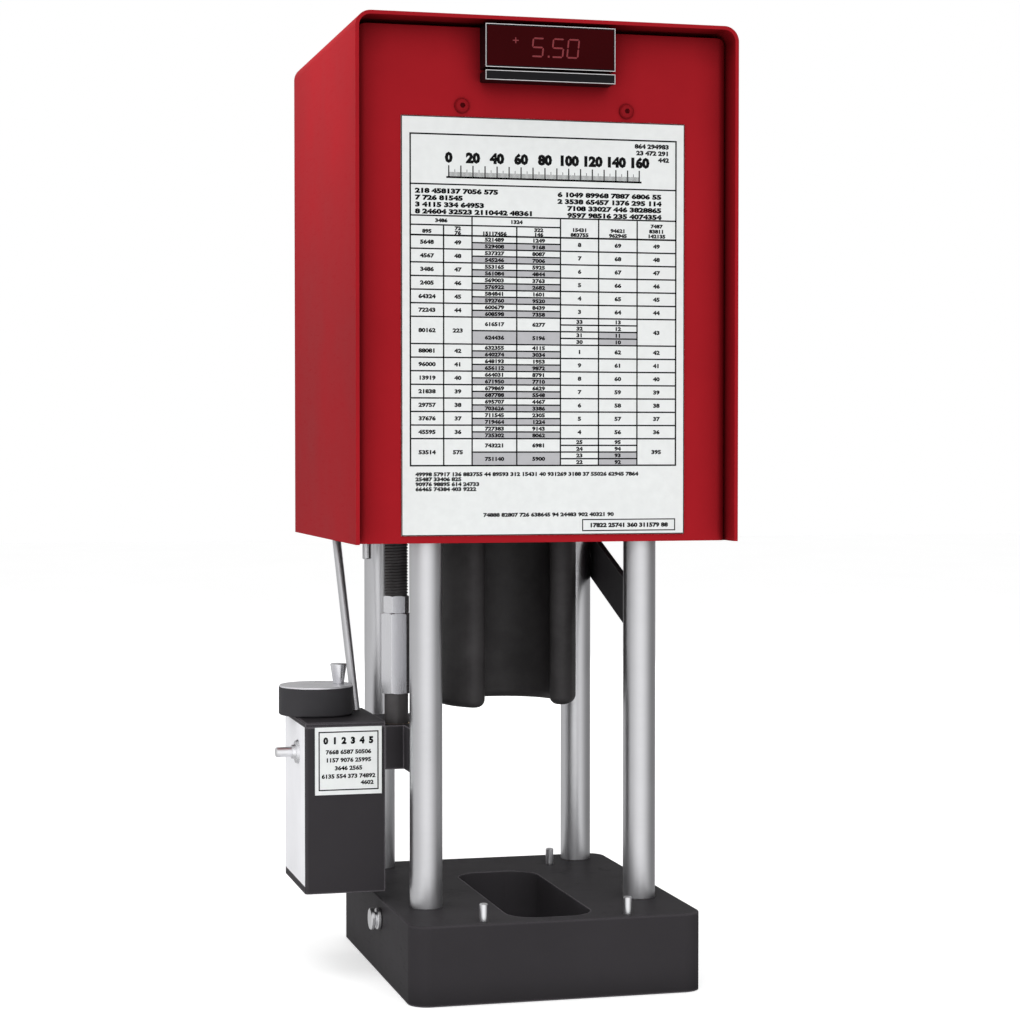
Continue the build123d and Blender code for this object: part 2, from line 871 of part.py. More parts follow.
with BuildPart() as hex_coupling:
    hexagon(stop_line, coupling_flats, stop_coupling_bottom, coupling_top, 1.6)
    spigot_hole = stud_spigot_radius + shaft_gap
    rod(stop_line, spigot_hole, coupling_top - spigot_bite - 1, coupling_top, Mode.SUBTRACT)
    rod(
        stop_line, spigot_hole, stop_coupling_bottom, stop_coupling_bottom + spigot_bite + 1,
        Mode.SUBTRACT,
    )
save(hex_coupling, "hex_coupling")

with BuildPart() as stop_plunger:
    turned(
        stop_line,
        (0, plunger_bottom),
        (plunger_radius - 1, plunger_bottom),
        (plunger_radius, plunger_bottom + 1),
        (plunger_radius, stop_coupling_bottom),
        (stud_spigot_radius, stop_coupling_bottom),
        (stud_spigot_radius, stop_coupling_bottom + spigot_bite),
        (0, stop_coupling_bottom + spigot_bite),
    )
    rod(
        leftward(stop_x, stop_y, finger_z), finger_radius + shaft_gap,
        -plunger_radius / 2, plunger_radius + 1, Mode.SUBTRACT,
    )
save(stop_plunger, "stop_plunger")

with BuildPart() as trip_finger:
    rod(leftward(stop_x, stop_y, finger_z), finger_radius, -plunger_radius / 2, finger_reach)
save(trip_finger, "trip_finger")

# ---------------------------------------------------------------- position sensor

sensor_line = upright(sensor_x, sensor_y)

with BuildPart() as sensor_body:
    sensor_body_bottom = head_bottom - sensor_body_length
    rod(sensor_line, sensor_body_radius, sensor_body_bottom, head_bottom)
    rod(
        sensor_line, sensor_rod_radius + shaft_gap, sensor_body_bottom,
        head_bottom - sensor_body_radius, Mode.SUBTRACT,
    )
save(sensor_body, "sensor_body")

with BuildPart() as sensor_rod:
    rod(
        sensor_line, sensor_rod_radius, sensor_rod_bottom,
        sensor_rod_bottom + sensor_rod_length,
    )
    chamfer(sensor_rod.edges().group_by(Axis.Z)[0], 0.6)
save(sensor_rod, "sensor_rod")

# ---------------------------------------------------------------- bracket

with BuildPart() as bracket:
    block(
        (bracket_left, bracket_front, bracket_bottom),
        (bracket_right, bracket_rear, bracket_top),
    )
    fillet(bracket.edges().filter_by(Axis.Z).sort_by(Axis.Y)[-2:], bracket_edge_radius)
    block(
        (post_left - bracket_saddle_half_width, post_front, bracket_bottom),
        (post_left + bracket_saddle_half_width, bracket_front, bracket_top),
    )
    rod(
        upright(post_left, post_front), post_radius + shaft_gap, bracket_bottom, bracket_top,
        Mode.SUBTRACT,
    )
    bushing_outer = plunger_radius + shaft_gap + bushing_wall
    rod(stop_line, bushing_outer + shaft_gap, pocket_top, bracket_top, Mode.SUBTRACT)
    block(
        (bracket_left, stop_y - pocket_width / 2, bracket_bottom),
        (pocket_right, stop_y + pocket_width / 2, pocket_top),
        Mode.SUBTRACT,
    )
    for screw_z in post_screw_heights:
        screw_line = forward(post_screw_x, bracket_front + post_screw_seat, screw_z)
        saddle_depth = bracket_front + post_screw_seat - post_front
        rod(screw_line, cap_screw_radius + shaft_gap, 0, saddle_depth, Mode.SUBTRACT)
        rod(
            screw_line, cap_screw_head_radius + 0.3, post_screw_seat - bracket_depth, 0,
            Mode.SUBTRACT,
        )
        rod(
            leftward(bracket_left, box_screw_y, screw_z), cap_screw_radius + shaft_gap,
            -cap_screw_bite - 2, 0, Mode.SUBTRACT,
        )
save(bracket, "bracket")

with BuildPart() as bracket_bushing:
    rod(stop_line, bushing_outer, pocket_top, bracket_top)
    rod(stop_line, plunger_radius + shaft_gap, pocket_top, bracket_top, Mode.SUBTRACT)
save(bracket_bushing, "bracket_bushing")

# ---------------------------------------------------------------- side brace

brace_inner = post_right + post_radius
brace_outer = brace_inner + brace_thickness
brace_half_height = brace_width / 2 / math.cos(math.radians(brace_slope))
brace_back = post_rear + brace_rear_overhang
brace_back_z = brace_rear_z + brace_rear_overhang * brace_tilt
brace_foot_low = brace_front_z - brace_half_height
brace_foot_high = brace_front_z + brace_half_height
brace_foot_left = brace_inner - brace_foot_width
brace_foot_front = post_front + post_radius + brace_foot_gap

with BuildPart() as side_brace:
    with BuildSketch(Plane(origin=(brace_inner, 0, 0), x_dir=(0, 1, 0), z_dir=(1, 0, 0))):
        with BuildLine():
            Polyline(
                (brace_front, brace_foot_low),
                (brace_back, brace_back_z - brace_half_height),
                (brace_back, brace_back_z + brace_half_height),
                (brace_front, brace_foot_high),
                close=True,
            )
        make_face()
    extrude(amount=brace_thickness)
    block(
        (brace_foot_left, brace_foot_front, brace_foot_low),
        (brace_outer, brace_front, brace_foot_high),
    )
    block(
        (brace_foot_left, post_front, brace_foot_low),
        (brace_inner - brace_saddle_inset, brace_foot_front, brace_foot_high),
    )
    rod(
        upright(post_right, post_front), post_radius + shaft_gap,
        brace_foot_low, brace_foot_high, Mode.SUBTRACT,
    )
    rod(
        forward(brace_screw_x, brace_front, brace_front_z), cap_screw_radius + shaft_gap,
        0, brace_front_gap + post_radius, Mode.SUBTRACT,
    )
    rod(
        leftward(brace_outer, post_rear, brace_rear_z), cap_screw_radius + shaft_gap,
        0, brace_thickness, Mode.SUBTRACT,
    )
save(side_brace, "side_brace")


# ---------------------------------------------------------------- control box

box_cavity_left = box_left + box_left_wall
box_cavity_right = box_right - box_wall
finger_slot_top = finger_z + finger_radius + running_gap
finger_slot_bottom = finger_z - ram_stroke - finger_radius - running_gap

with BuildPart() as control_box:
    block((box_left, box_front, box_bottom), (box_right, box_rear, box_top))
    front_edges = control_box.edges().filter_by(Axis.Z).group_by(Axis.Y)[0]
    fillet(front_edges.sort_by(Axis.X)[0], box_edge_radius)
    block(
        (box_cavity_left, box_front + box_wall, box_floor),
        (box_cavity_right, box_rear - box_wall, box_top),
        Mode.SUBTRACT,
    )
    bearing_line = upright(dial_x, dial_y)
    rod(bearing_line, bearing_radius, box_bottom, box_floor + bearing_height)
    rod(
        bearing_line, spindle_radius + shaft_gap, box_floor + spindle_foot,
        box_floor + bearing_height, Mode.SUBTRACT,
    )
    block(
        (box_left, box_front + box_wall, side_panel_bottom),
        (side_panel_inner, box_rear, box_top),
        Mode.SUBTRACT,
    )
    block(
        (side_panel_inner, box_front + box_wall + box_ledge, side_panel_bottom + box_ledge),
        (box_cavity_left, box_rear - box_wall - box_ledge, box_top - box_ledge),
        Mode.SUBTRACT,
    )
    block(
        (box_cavity_right, stop_y - finger_radius - running_gap, finger_slot_bottom),
        (box_right, stop_y + finger_radius + running_gap, finger_slot_top),
        Mode.SUBTRACT,
    )
    for screw_z in post_screw_heights:
        rod(
            leftward(box_right, box_screw_y, screw_z), cap_screw_radius + shaft_gap, 0, box_wall,
            Mode.SUBTRACT,
        )
save(control_box, "control_box")

with BuildPart() as side_panel:
    block(
        (box_left, box_front + box_wall, side_panel_bottom),
        (side_panel_inner, box_rear, box_top),
    )
    rod(
        leftward(box_left, button_y, button_z), button_thread_radius + shaft_gap,
        -panel_sheet, 0, Mode.SUBTRACT,
    )
save(side_panel, "side_panel")

with BuildPart() as cap_screws:
    for screw_z in post_screw_heights:
        socket_screw(
            Plane(
                origin=(post_screw_x, bracket_front + post_screw_seat, screw_z),
                x_dir=(1, 0, 0), z_dir=(0, 0, 1),
            ),
            cap_screw_radius, cap_screw_head_radius, cap_screw_head,
            bracket_front + post_screw_seat - post_front - post_radius + cap_screw_bite,
        )
    socket_screw(
        Plane(origin=(brace_screw_x, brace_front, brace_front_z), x_dir=(1, 0, 0), z_dir=(0, 0, 1)),
        cap_screw_radius, cap_screw_head_radius, cap_screw_head,
        brace_front_gap + cap_screw_bite,
    )
    socket_screw(
        Plane(origin=(brace_outer, post_rear, brace_rear_z), x_dir=(0, 0, -1), z_dir=(0, -1, 0)),
        cap_screw_radius, cap_screw_head_radius, cap_screw_head,
        brace_thickness + cap_screw_bite,
    )
    for screw_z in post_screw_heights:
        socket_screw(
            leftward(box_cavity_right, box_screw_y, screw_z),
            cap_screw_radius, cap_screw_head_radius, cap_screw_head, box_wall + cap_screw_bite,
        )
save(cap_screws, "cap_screws")

# ---------------------------------------------------------------- conduit

foot_point = Vector(conduit_foot[0], conduit_foot[1], lid_top)
knee_point = Vector(conduit_knee[0], conduit_knee[1], conduit_knee_z)
lean = (foot_point - knee_point).normalized()
conduit_start = foot_point + lean * (conduit_foot_bite / -lean.Z)
conduit_end = Vector(conduit_knee[0], conduit_knee[1], terminal_box_bottom + conduit_end_bite)

with BuildPart() as conduit:
    with BuildLine() as conduit_path:
        FilletPolyline(conduit_start, knee_point, conduit_end, radius=conduit_bend_radius)
    with BuildSketch(Plane(origin=conduit_start, z_dir=-lean)):
        Circle(conduit_radius)
    sweep(path=conduit_path.line)
save(conduit, "conduit")

with BuildPart() as terminal_box:
    block(
        (-head_width / 2 - terminal_box_width, conduit_knee[1] - terminal_box_depth / 2,
         terminal_box_bottom),
        (-head_width / 2, conduit_knee[1] + terminal_box_depth / 2,
         terminal_box_bottom + terminal_box_height),
    )
    rod(
        upright(*conduit_knee), conduit_radius + shaft_gap, terminal_box_bottom,
        terminal_box_bottom + conduit_end_bite + 1, Mode.SUBTRACT,
    )
save(terminal_box, "terminal_box")

with BuildPart() as box_lid:
    block((box_left, box_front, box_top), (box_right, box_rear, lid_top))
    lid_rim = box_lid.faces().sort_by(Axis.Z)[-1].edges()
    chamfer(lid_rim.sort_by(Axis.X)[:-1], lid_edge_radius)
    rod(upright(dial_x, dial_y), spindle_radius + shaft_gap, box_top, lid_top, Mode.SUBTRACT)
    with BuildSketch(Plane(origin=foot_point, z_dir=-lean)) as conduit_hole:
        Circle(conduit_radius + shaft_gap)
    extrude(conduit_hole.sketch, amount=lid_thickness * 3, both=True, mode=Mode.SUBTRACT)
save(box_lid, "box_lid")

# ---------------------------------------------------------------- dial and switch carriage

dial_line = upright(dial_x, dial_y)
spinner_line = upright(spinner_x, dial_y)

with BuildPart() as dial:
    rod(dial_line, dial_radius, dial_bottom, dial_body_top)
    dial_rims = dial.edges().filter_by(GeomType.CIRCLE)
    chamfer(dial_rims.sort_by(Axis.Z)[:1], dial_edge_radius)
    rod(dial_line, spindle_radius + shaft_gap, dial_bottom, dial_body_top, Mode.SUBTRACT)
    rod(
        spinner_line, spinner_pin_radius + shaft_gap, dial_body_top - spinner_pin_bite,
        dial_body_top, Mode.SUBTRACT,
    )
save(dial, "dial")

with BuildPart() as dial_cap:
    rod(dial_line, dial_radius - dial_cap_inset, dial_body_top, dial_top)
    chamfer(dial_cap.edges().group_by(Axis.Z)[-1], dial_cap_thickness / 3)
    rod(spinner_line, spinner_pin_radius + shaft_gap, dial_body_top, dial_top, Mode.SUBTRACT)
save(dial_cap, "dial_cap")

with BuildPart() as dial_spindle:
    rod(dial_line, spindle_radius, box_floor + spindle_foot, dial_body_top)
save(dial_spindle, "dial_spindle")

with BuildPart() as spinner_pin:
    rod(
        spinner_line, spinner_pin_radius, dial_body_top - spinner_pin_bite,
        dial_top + spinner_pin_height,
    )
save(spinner_pin, "spinner_pin")

with BuildPart() as spinner_knob:
    spinner_bottom = dial_top + spinner_gap
    spinner_top = dial_top + spinner_height
    turned(
        spinner_line,
        (0, spinner_bottom),
        (spinner_bottom_radius, spinner_bottom),
        (spinner_top_radius, spinner_top),
        (0, spinner_top),
    )
    chamfer(spinner_knob.edges().group_by(Axis.Z)[-1], 0.5)
    rod(
        spinner_line, spinner_pin_radius + shaft_gap, spinner_bottom,
        dial_top + spinner_pin_height + spinner_gap, Mode.SUBTRACT,
    )
save(spinner_knob, "spinner_knob")

with BuildPart() as switch_carriage:
    with BuildSketch(Plane.XY.offset(carriage_bottom)):
        for eye_x, eye_y, eye_radius in (
            (guide_x, guide_y, guide_boss_radius),
            (switch_x, stop_y, switch_width),
        ):
            with BuildSketch(mode=Mode.PRIVATE) as link:
                with Locations((dial_x, dial_y)):
                    Circle(carriage_boss_radius)
                with Locations((eye_x, eye_y)):
                    Circle(eye_radius)
                make_hull()
            add(link.sketch)
        with Locations((dial_x, dial_y)):
            Circle(spindle_radius + shaft_gap, mode=Mode.SUBTRACT)
        with Locations((guide_x, guide_y)):
            Circle(guide_radius + shaft_gap, mode=Mode.SUBTRACT)
    extrude(amount=carriage_thickness)
save(switch_carriage, "switch_carriage")

with BuildPart() as limit_switch:
    block(
        (switch_x - switch_length / 2, stop_y - switch_width / 2, carriage_top),
        (switch_x + switch_length / 2, stop_y + switch_width / 2, carriage_top + switch_height),
    )
    rod(
        upright(switch_x, stop_y), switch_tip_radius, carriage_top + switch_height,
        carriage_top + switch_height + switch_tip_height,
    )
save(limit_switch, "limit_switch")

with BuildPart() as guide_rod:
    rod(upright(guide_x, guide_y), guide_radius, box_floor, box_top)
save(guide_rod, "guide_rod")

# ---------------------------------------------------------------- push button

button_line = leftward(box_left, button_y, button_z)
button_seat = -button_thread_length - panel_sheet

with BuildPart() as button_bushing:
    turned(
        button_line,
        (button_radius + shaft_gap, button_seat),
        (button_thread_radius, button_seat),
        (button_thread_radius, 0),
        (button_flange_radius, 0),
        (button_flange_radius - 1, button_flange),
        (button_step_radius, button_flange),
        (button_step_radius - 0.5, button_flange + button_step),
        (button_radius + shaft_gap, button_flange + button_step),
    )
save(button_bushing, "button_bushing")

with BuildPart() as contact_block:
    half_block = contact_block_size / 2
    block(
        (side_panel_inner, button_y - half_block, button_z - half_block),
        (side_panel_inner + button_thread_length + contact_block_size, button_y + half_block,
         button_z + half_block),
    )
    rod(button_line, button_thread_radius + shaft_gap, button_seat, -panel_sheet, Mode.SUBTRACT)
    rod(
        button_line, contact_bore_radius, button_seat - contact_bore_depth, button_seat,
        Mode.SUBTRACT,
    )
save(contact_block, "contact_block")

with BuildPart() as button:
    button_face = button_flange + button_step + button_length
    collar_start = button_seat - 2 * shaft_gap
    turned(
        button_line,
        (0, button_seat - button_travel),
        (button_radius, button_seat - button_travel),
        (button_radius, collar_start - 2),
        (button_collar_radius, collar_start - 2),
        (button_collar_radius, collar_start),
        (button_radius, collar_start),
        (button_radius, button_face - 1),
        (button_radius - 0.8, button_face),
        (0, button_face),
    )
save(button, "button")

# ---------------------------------------------------------------- hood and panels


def arched(width, height, radius, y):
    """Upright outline standing on the hood's lower edge, its top corners rounded."""
    with BuildSketch(upright(0, y)) as outline:
        with Locations((0, hood_bottom)):
            Rectangle(width, height, align=(Align.CENTER, Align.MIN))
        fillet(outline.vertices().group_by(Axis.Y)[-1], radius)
    return outline.sketch


def channel(face_y, flange, bend_radius, direction):
    """Plan of a folded cover: a flat face with a bent flange at each side."""
    with BuildSketch(Plane.XY.offset(hood_bottom)) as plan:
        reach = direction * (bend_radius + flange)
        for inset, mode in ((0, Mode.ADD), (panel_sheet, Mode.SUBTRACT)):
            with BuildSketch(mode=Mode.PRIVATE) as outline:
                depth = abs(reach) - inset
                with Locations((0, face_y + direction * inset + direction * depth / 2)):
                    Rectangle(panel_width - 2 * inset, depth)
                front = outline.vertices().sort_by(Axis.Y)
                ends = front[:2] if direction > 0 else front[-2:]
                fillet(ends, bend_radius - inset)
            add(outline.sketch, mode=mode)
    return plan.sketch


with BuildPart() as hood:
    extrude(arched(hood_width, hood_height, hood_corner_radius, hood_front), amount=-hood_depth)
    hood_inside = arched(
        hood_inner_width, hood_height - hood_sheet, hood_inner_radius, hood_front
    )
    extrude(hood_inside, amount=-hood_depth, mode=Mode.SUBTRACT)
save(hood, "hood")

with BuildPart() as front_panel:
    extrude(channel(panel_face, panel_flange, panel_bend_radius, 1), amount=front_panel_height)
    panel_shape = arched(panel_width, front_panel_height, panel_corner_radius, panel_face)
    extrude(panel_shape, amount=-panel_bend_radius - panel_flange, mode=Mode.INTERSECT)
    readout_body_low = readout_bottom + readout_body_inset
    readout_body_high = readout_bottom + readout_height - readout_body_inset
    block(
        (readout_body_inset - readout_width / 2, panel_face, readout_body_low),
        (readout_width / 2 - readout_body_inset, panel_back, readout_body_high),
        Mode.SUBTRACT,
    )
    for side in (-1, 1):
        rod(
            forward(side * panel_screw_x, panel_back, panel_screw_z),
            cover_screw_radius + shaft_gap, 0, panel_sheet, Mode.SUBTRACT,
        )
save(front_panel, "front_panel")

with BuildPart() as front_bracket:
    block(
        (-front_bracket_width / 2, panel_back, head_top - front_bracket_overlap),
        (front_bracket_width / 2, head_front, front_bracket_top),
    )
    for side in (-1, 1):
        rod(
            forward(side * panel_screw_x, head_front, panel_screw_z),
            cover_screw_radius + shaft_gap, 0, head_front - panel_back, Mode.SUBTRACT,
        )
save(front_bracket, "front_bracket")

with BuildPart() as rear_panel:
    extrude(channel(rear_face, rear_flange, rear_bend_radius, -1), amount=rear_panel_height)
    rear_depth = rear_bend_radius + rear_flange
    rear_shape = arched(panel_width, rear_panel_height, panel_corner_radius, rear_face - rear_depth)
    extrude(rear_shape, amount=-rear_depth, mode=Mode.INTERSECT)
    for port_x, passage_y in passages:
        rod(
            forward(port_x, rear_face, coupler_z), coupler_radius + coupler_opening_gap,
            0, panel_sheet, Mode.SUBTRACT,
        )
    for screw_x, screw_z in rear_screw_points:
        rod(
            forward(screw_x, rear_face, screw_z), cover_screw_radius + shaft_gap,
            0, panel_sheet, Mode.SUBTRACT,
        )
save(rear_panel, "rear_panel")

with BuildPart() as rear_spacers:
    for screw_x, screw_z in rear_screw_points:
        spacer_line = forward(screw_x, rear_inside, screw_z)
        rod(spacer_line, spacer_radius, 0, rear_inside - head_rear)
        rod(
            spacer_line, cover_screw_radius + shaft_gap, 0, rear_inside - head_rear, Mode.SUBTRACT
        )
save(rear_spacers, "rear_spacers")



def cover_screw(plane, length):
    """Add a round-headed socket screw whose head stands on the plane."""
    rod(plane, cover_screw_radius, -length, 0)
    turned(
        plane,
        (0, 0),
        (cover_screw_head_radius, 0),
        (cover_screw_head_radius, cover_screw_head / 3),
        (cover_screw_head_radius * 0.8, cover_screw_head * 0.8),
        (cover_screw_head_radius * 0.5, cover_screw_head),
        (0, cover_screw_head),
    )
    hexagon_cut(plane, cover_screw_socket, cover_screw_head / 3, cover_screw_head)


with BuildPart() as cover_screws:
    for side in (-1, 1):
        cover_screw(forward(side * panel_screw_x, panel_face, panel_screw_z), panel_screw_length)
    for screw_x, screw_z in rear_screw_points:
        cover_screw(
            Plane(origin=(screw_x, rear_face, screw_z), x_dir=(1, 0, 0), z_dir=(0, 0, 1)),
            rear_face - head_rear + rear_screw_bite,
        )
save(cover_screws, "cover_screws")

# ---------------------------------------------------------------- hydraulic couplers

for coupler_name, (port_x, passage_y) in zip(("pressure_coupler", "return_coupler"), passages):
    with BuildPart() as coupler:
        coupler_line = forward(port_x, head_rear, coupler_z)
        coupler_end = head_rear - rear_face - coupler_stand_off
        hexagon(coupler_line, coupler_flats, -coupler_hex_length, 0, 2)
        rod(coupler_line, coupler_thread_radius, 0, coupler_thread_length)
        rod(coupler_line, coupler_radius, coupler_end, -coupler_hex_length)
        rod(
            coupler_line, coupler_port_radius, coupler_end, coupler_end + coupler_port_depth,
            Mode.SUBTRACT,
        )
        rod(coupler_line, cross_passage_radius, coupler_end, coupler_thread_length, Mode.SUBTRACT)
    save(coupler, coupler_name)

# ---------------------------------------------------------------- readout and chart

with BuildPart() as readout:
    block(
        (-readout_width / 2, readout_front, readout_bottom),
        (readout_width / 2, panel_face, readout_bottom + readout_height),
    )
    fillet(readout.edges().filter_by(Axis.Y), 1)
    block(
        (readout_body_inset - readout_width / 2 + cover_gap, panel_face, readout_body_low + cover_gap),
        (readout_width / 2 - readout_body_inset - cover_gap, panel_face + readout_body_depth,
         readout_body_high - cover_gap),
    )
    block(
        (-window_width / 2, readout_front, readout_bottom + window_inset),
        (window_width / 2, window_back, readout_bottom + window_inset + window_height),
        Mode.SUBTRACT,
    )
save(readout, "readout")

with BuildPart() as readout_window:
    block(
        (shaft_gap - window_width / 2, readout_front, readout_bottom + window_inset + shaft_gap),
        (window_width / 2 - shaft_gap, window_back,
         readout_bottom + window_inset + window_height - shaft_gap),
    )
save(readout_window, "readout_window")

with BuildPart() as readout_strip:
    block(
        (-readout_width / 2, readout_front, strip_bottom),
        (readout_width / 2, panel_face, strip_bottom + strip_height),
    )
    fillet(readout_strip.edges().filter_by(Axis.Y), 1)
save(readout_strip, "readout_strip")

with BuildPart() as chart_plate:
    block(
        (-chart_width / 2, panel_face - chart_thickness, chart_bottom),
        (chart_width / 2, panel_face, chart_bottom + chart_height),
    )
save(chart_plate, "chart_plate")

with BuildPart() as label_plate:
    block(
        (label_left, box_front - label_thickness, label_bottom),
        (label_right, box_front, box_top),
    )
save(label_plate, "label_plate")
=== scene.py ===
import json
import math

import bpy
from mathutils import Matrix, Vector


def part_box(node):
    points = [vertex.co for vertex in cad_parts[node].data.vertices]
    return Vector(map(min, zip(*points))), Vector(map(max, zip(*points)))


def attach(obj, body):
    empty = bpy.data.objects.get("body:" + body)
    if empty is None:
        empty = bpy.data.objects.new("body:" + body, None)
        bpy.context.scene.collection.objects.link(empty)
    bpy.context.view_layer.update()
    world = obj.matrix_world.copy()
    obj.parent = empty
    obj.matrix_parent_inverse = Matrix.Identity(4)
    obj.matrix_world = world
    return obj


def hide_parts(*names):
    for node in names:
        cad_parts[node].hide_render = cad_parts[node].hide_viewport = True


# Dresses the hose crimping machine: finishes on the CAD nodes, printing on the chart and the
# label, the readout's trim and figures, the stop stud's thread, and the studio round it.
# Lengths are in metres, except in Sheet and the printing drawn with it, which are in mm.

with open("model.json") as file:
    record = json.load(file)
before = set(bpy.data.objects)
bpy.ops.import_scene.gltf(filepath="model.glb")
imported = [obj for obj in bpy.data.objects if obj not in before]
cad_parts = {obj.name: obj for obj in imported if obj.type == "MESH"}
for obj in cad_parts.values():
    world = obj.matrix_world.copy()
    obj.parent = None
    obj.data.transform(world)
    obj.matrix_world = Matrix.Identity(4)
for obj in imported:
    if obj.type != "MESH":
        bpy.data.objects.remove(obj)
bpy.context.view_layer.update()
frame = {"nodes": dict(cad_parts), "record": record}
nodes = frame["nodes"]
MM = 0.001
WHITE = (1.0, 1.0, 1.0, 1.0)


# ---------------------------------------------------------------- materials

BEVEL_SAMPLES, CORNER_SAMPLES = 4, 8
RIM_START, RIM_FULL = 0.995, 0.84  # cosine between a face's normal and the rounded normal
mats = {}  # each finish by its plain name


class Build:
    """Node tree of one material, with short calls for its nodes."""

    def __init__(self, name):
        self.mat = mats[name] = bpy.data.materials.new(name)
        self.mat.use_nodes = True
        self.tree = self.mat.node_tree
        self.tree.nodes.clear()
        self.out = self.add("ShaderNodeOutputMaterial")
        self.bsdf = self.add("ShaderNodeBsdfPrincipled")
        self.link(self.bsdf.outputs[0], self.out.inputs[0])
        self.coord = self.add("ShaderNodeTexCoord").outputs["Object"]

    def add(self, kind, **values):
        node = self.tree.nodes.new(kind)
        for key, value in values.items():
            setattr(node, key, value)
        return node

    def link(self, a, b):
        self.tree.links.new(a, b)

    def scaled(self, scale):
        node = self.add("ShaderNodeMapping")
        node.inputs["Scale"].default_value = scale
        self.link(self.coord, node.inputs["Vector"])
        return node.outputs[0]

    def noise(self, scale, detail=4.0, rough=0.55, stretch=None, distortion=0.0):
        node = self.add("ShaderNodeTexNoise")
        node.inputs["Scale"].default_value = scale
        node.inputs["Detail"].default_value = detail
        node.inputs["Roughness"].default_value = rough
        node.inputs["Distortion"].default_value = distortion
        self.link(self.scaled(stretch) if stretch else self.coord, node.inputs["Vector"])
        return node.outputs["Fac"]

    def ramp(self, value, low, high, start=0.0, end=1.0):
        """From start to end as the value goes from low to high."""
        node = self.add("ShaderNodeMapRange")
        node.inputs["From Min"].default_value = low
        node.inputs["From Max"].default_value = high
        node.inputs["To Min"].default_value = start
        node.inputs["To Max"].default_value = end
        self.link(value, node.inputs["Value"])
        return node.outputs[0]

    def mix(self, factor, a, b):
        node = self.add("ShaderNodeMix", data_type="RGBA")
        self.link(factor, node.inputs[0])
        for socket, colour in ((node.inputs[6], a), (node.inputs[7], b)):
            if isinstance(colour, tuple):
                socket.default_value = (*colour, 1.0)
            else:
                self.link(colour, socket)
        return node.outputs[2]

    def sum(self, a, b):
        node = self.add("ShaderNodeMath", operation="ADD")
        self.link(a, node.inputs[0])
        self.link(b, node.inputs[1])
        return node.outputs[0]

    def bump(self, height, strength, distance, normal=None):
        node = self.add("ShaderNodeBump")
        node.inputs["Strength"].default_value = strength
        node.inputs["Distance"].default_value = distance
        self.link(height, node.inputs["Height"])
        if normal is not None:
            self.link(normal, node.inputs["Normal"])
        return node.outputs[0]

    def rounded(self, radius):
        node = self.add("ShaderNodeBevel", samples=BEVEL_SAMPLES)
        node.inputs["Radius"].default_value = radius
        return node.outputs[0]

    def corners(self, reach):
        """One on open faces, falling towards zero in corners and under overhangs."""
        node = self.add("ShaderNodeAmbientOcclusion", samples=CORNER_SAMPLES)
        node.inputs["Distance"].default_value = reach
        return node.outputs["AO"]

    def rims(self, radius):
        """Zero on faces, rising towards one along sharp outside edges."""
        flat = self.add("ShaderNodeNewGeometry").outputs["Normal"]
        dot = self.add("ShaderNodeVectorMath", operation="DOT_PRODUCT")
        self.link(self.rounded(radius), dot.inputs[0])
        self.link(flat, dot.inputs[1])
        return self.ramp(dot.outputs["Value"], RIM_START, RIM_FULL)

    def colour(self, tone):
        self.link(tone, self.bsdf.inputs["Base Color"])

    def roughness(self, value):
        self.link(value, self.bsdf.inputs["Roughness"])

    def normal(self, value):
        self.link(value, self.bsdf.inputs["Normal"])

    def set(self, **values):
        names = {
            "metallic": "Metallic", "roughness": "Roughness", "coat": "Coat Weight",
            "coat_rough": "Coat Roughness", "specular": "Specular IOR Level",
            "emit": "Emission Strength",
        }
        for key, value in values.items():
            self.bsdf.inputs[names[key]].default_value = value


def shade(colour, k):
    return tuple(min(1.0, c * k) for c in colour)


def enamel(name, colour, rough, specular, coat=0.0, peel=0.12, edge=0.0006, reach=0.03,
           corner_shade=0.45, edge_highlight=0.35, bright=1.6, band=0.0009):
    """Sprayed enamel: orange peel, cloudy gloss, dust, scuffs, painted shade in corners, painted
    highlights along edges.

    Painted shade: in corners and under overhangs the colour darkens to corner_shade times itself,
    as far out as reach. Painted highlight: along sharp edges the colour lightens to bright times
    itself, over a width of band, by the share edge_highlight.
    """
    b = Build(name)
    cloud = b.noise(scale=9.0, detail=5.0, rough=0.6)
    speck = b.noise(scale=900.0, detail=2.0, rough=0.5)
    scuff = b.noise(scale=60.0, detail=6.0, rough=0.7, stretch=(1.0, 1.0, 9.0), distortion=0.6)
    tone = b.mix(b.ramp(cloud, 0.3, 0.7), shade(colour, 0.93), shade(colour, 1.07))
    tone = b.mix(b.ramp(speck, 0.62, 0.8, end=0.35), tone, shade(colour, 1.25))
    # painted shade: the colour darkens in corners, creases and under overhangs
    tone = b.mix(b.ramp(b.corners(reach), 0.45, 0.94), shade(colour, corner_shade), tone)
    # painted highlight: the colour lightens along sharp outside edges
    tone = b.mix(b.ramp(b.rims(band), 0.0, 1.0, end=edge_highlight), tone, shade(colour, bright))
    b.colour(tone)
    gloss = b.ramp(cloud, 0.25, 0.75, start=rough - 0.05, end=rough + 0.07)
    worn = b.ramp(scuff, 0.55, 0.75, end=0.10)
    b.roughness(b.sum(gloss, worn))
    b.set(metallic=0.0, coat=coat, coat_rough=0.22, specular=specular)
    peel_height = b.noise(scale=420.0, detail=2.0, rough=0.4)
    b.normal(b.bump(peel_height, peel, 0.0002, b.rounded(edge)))


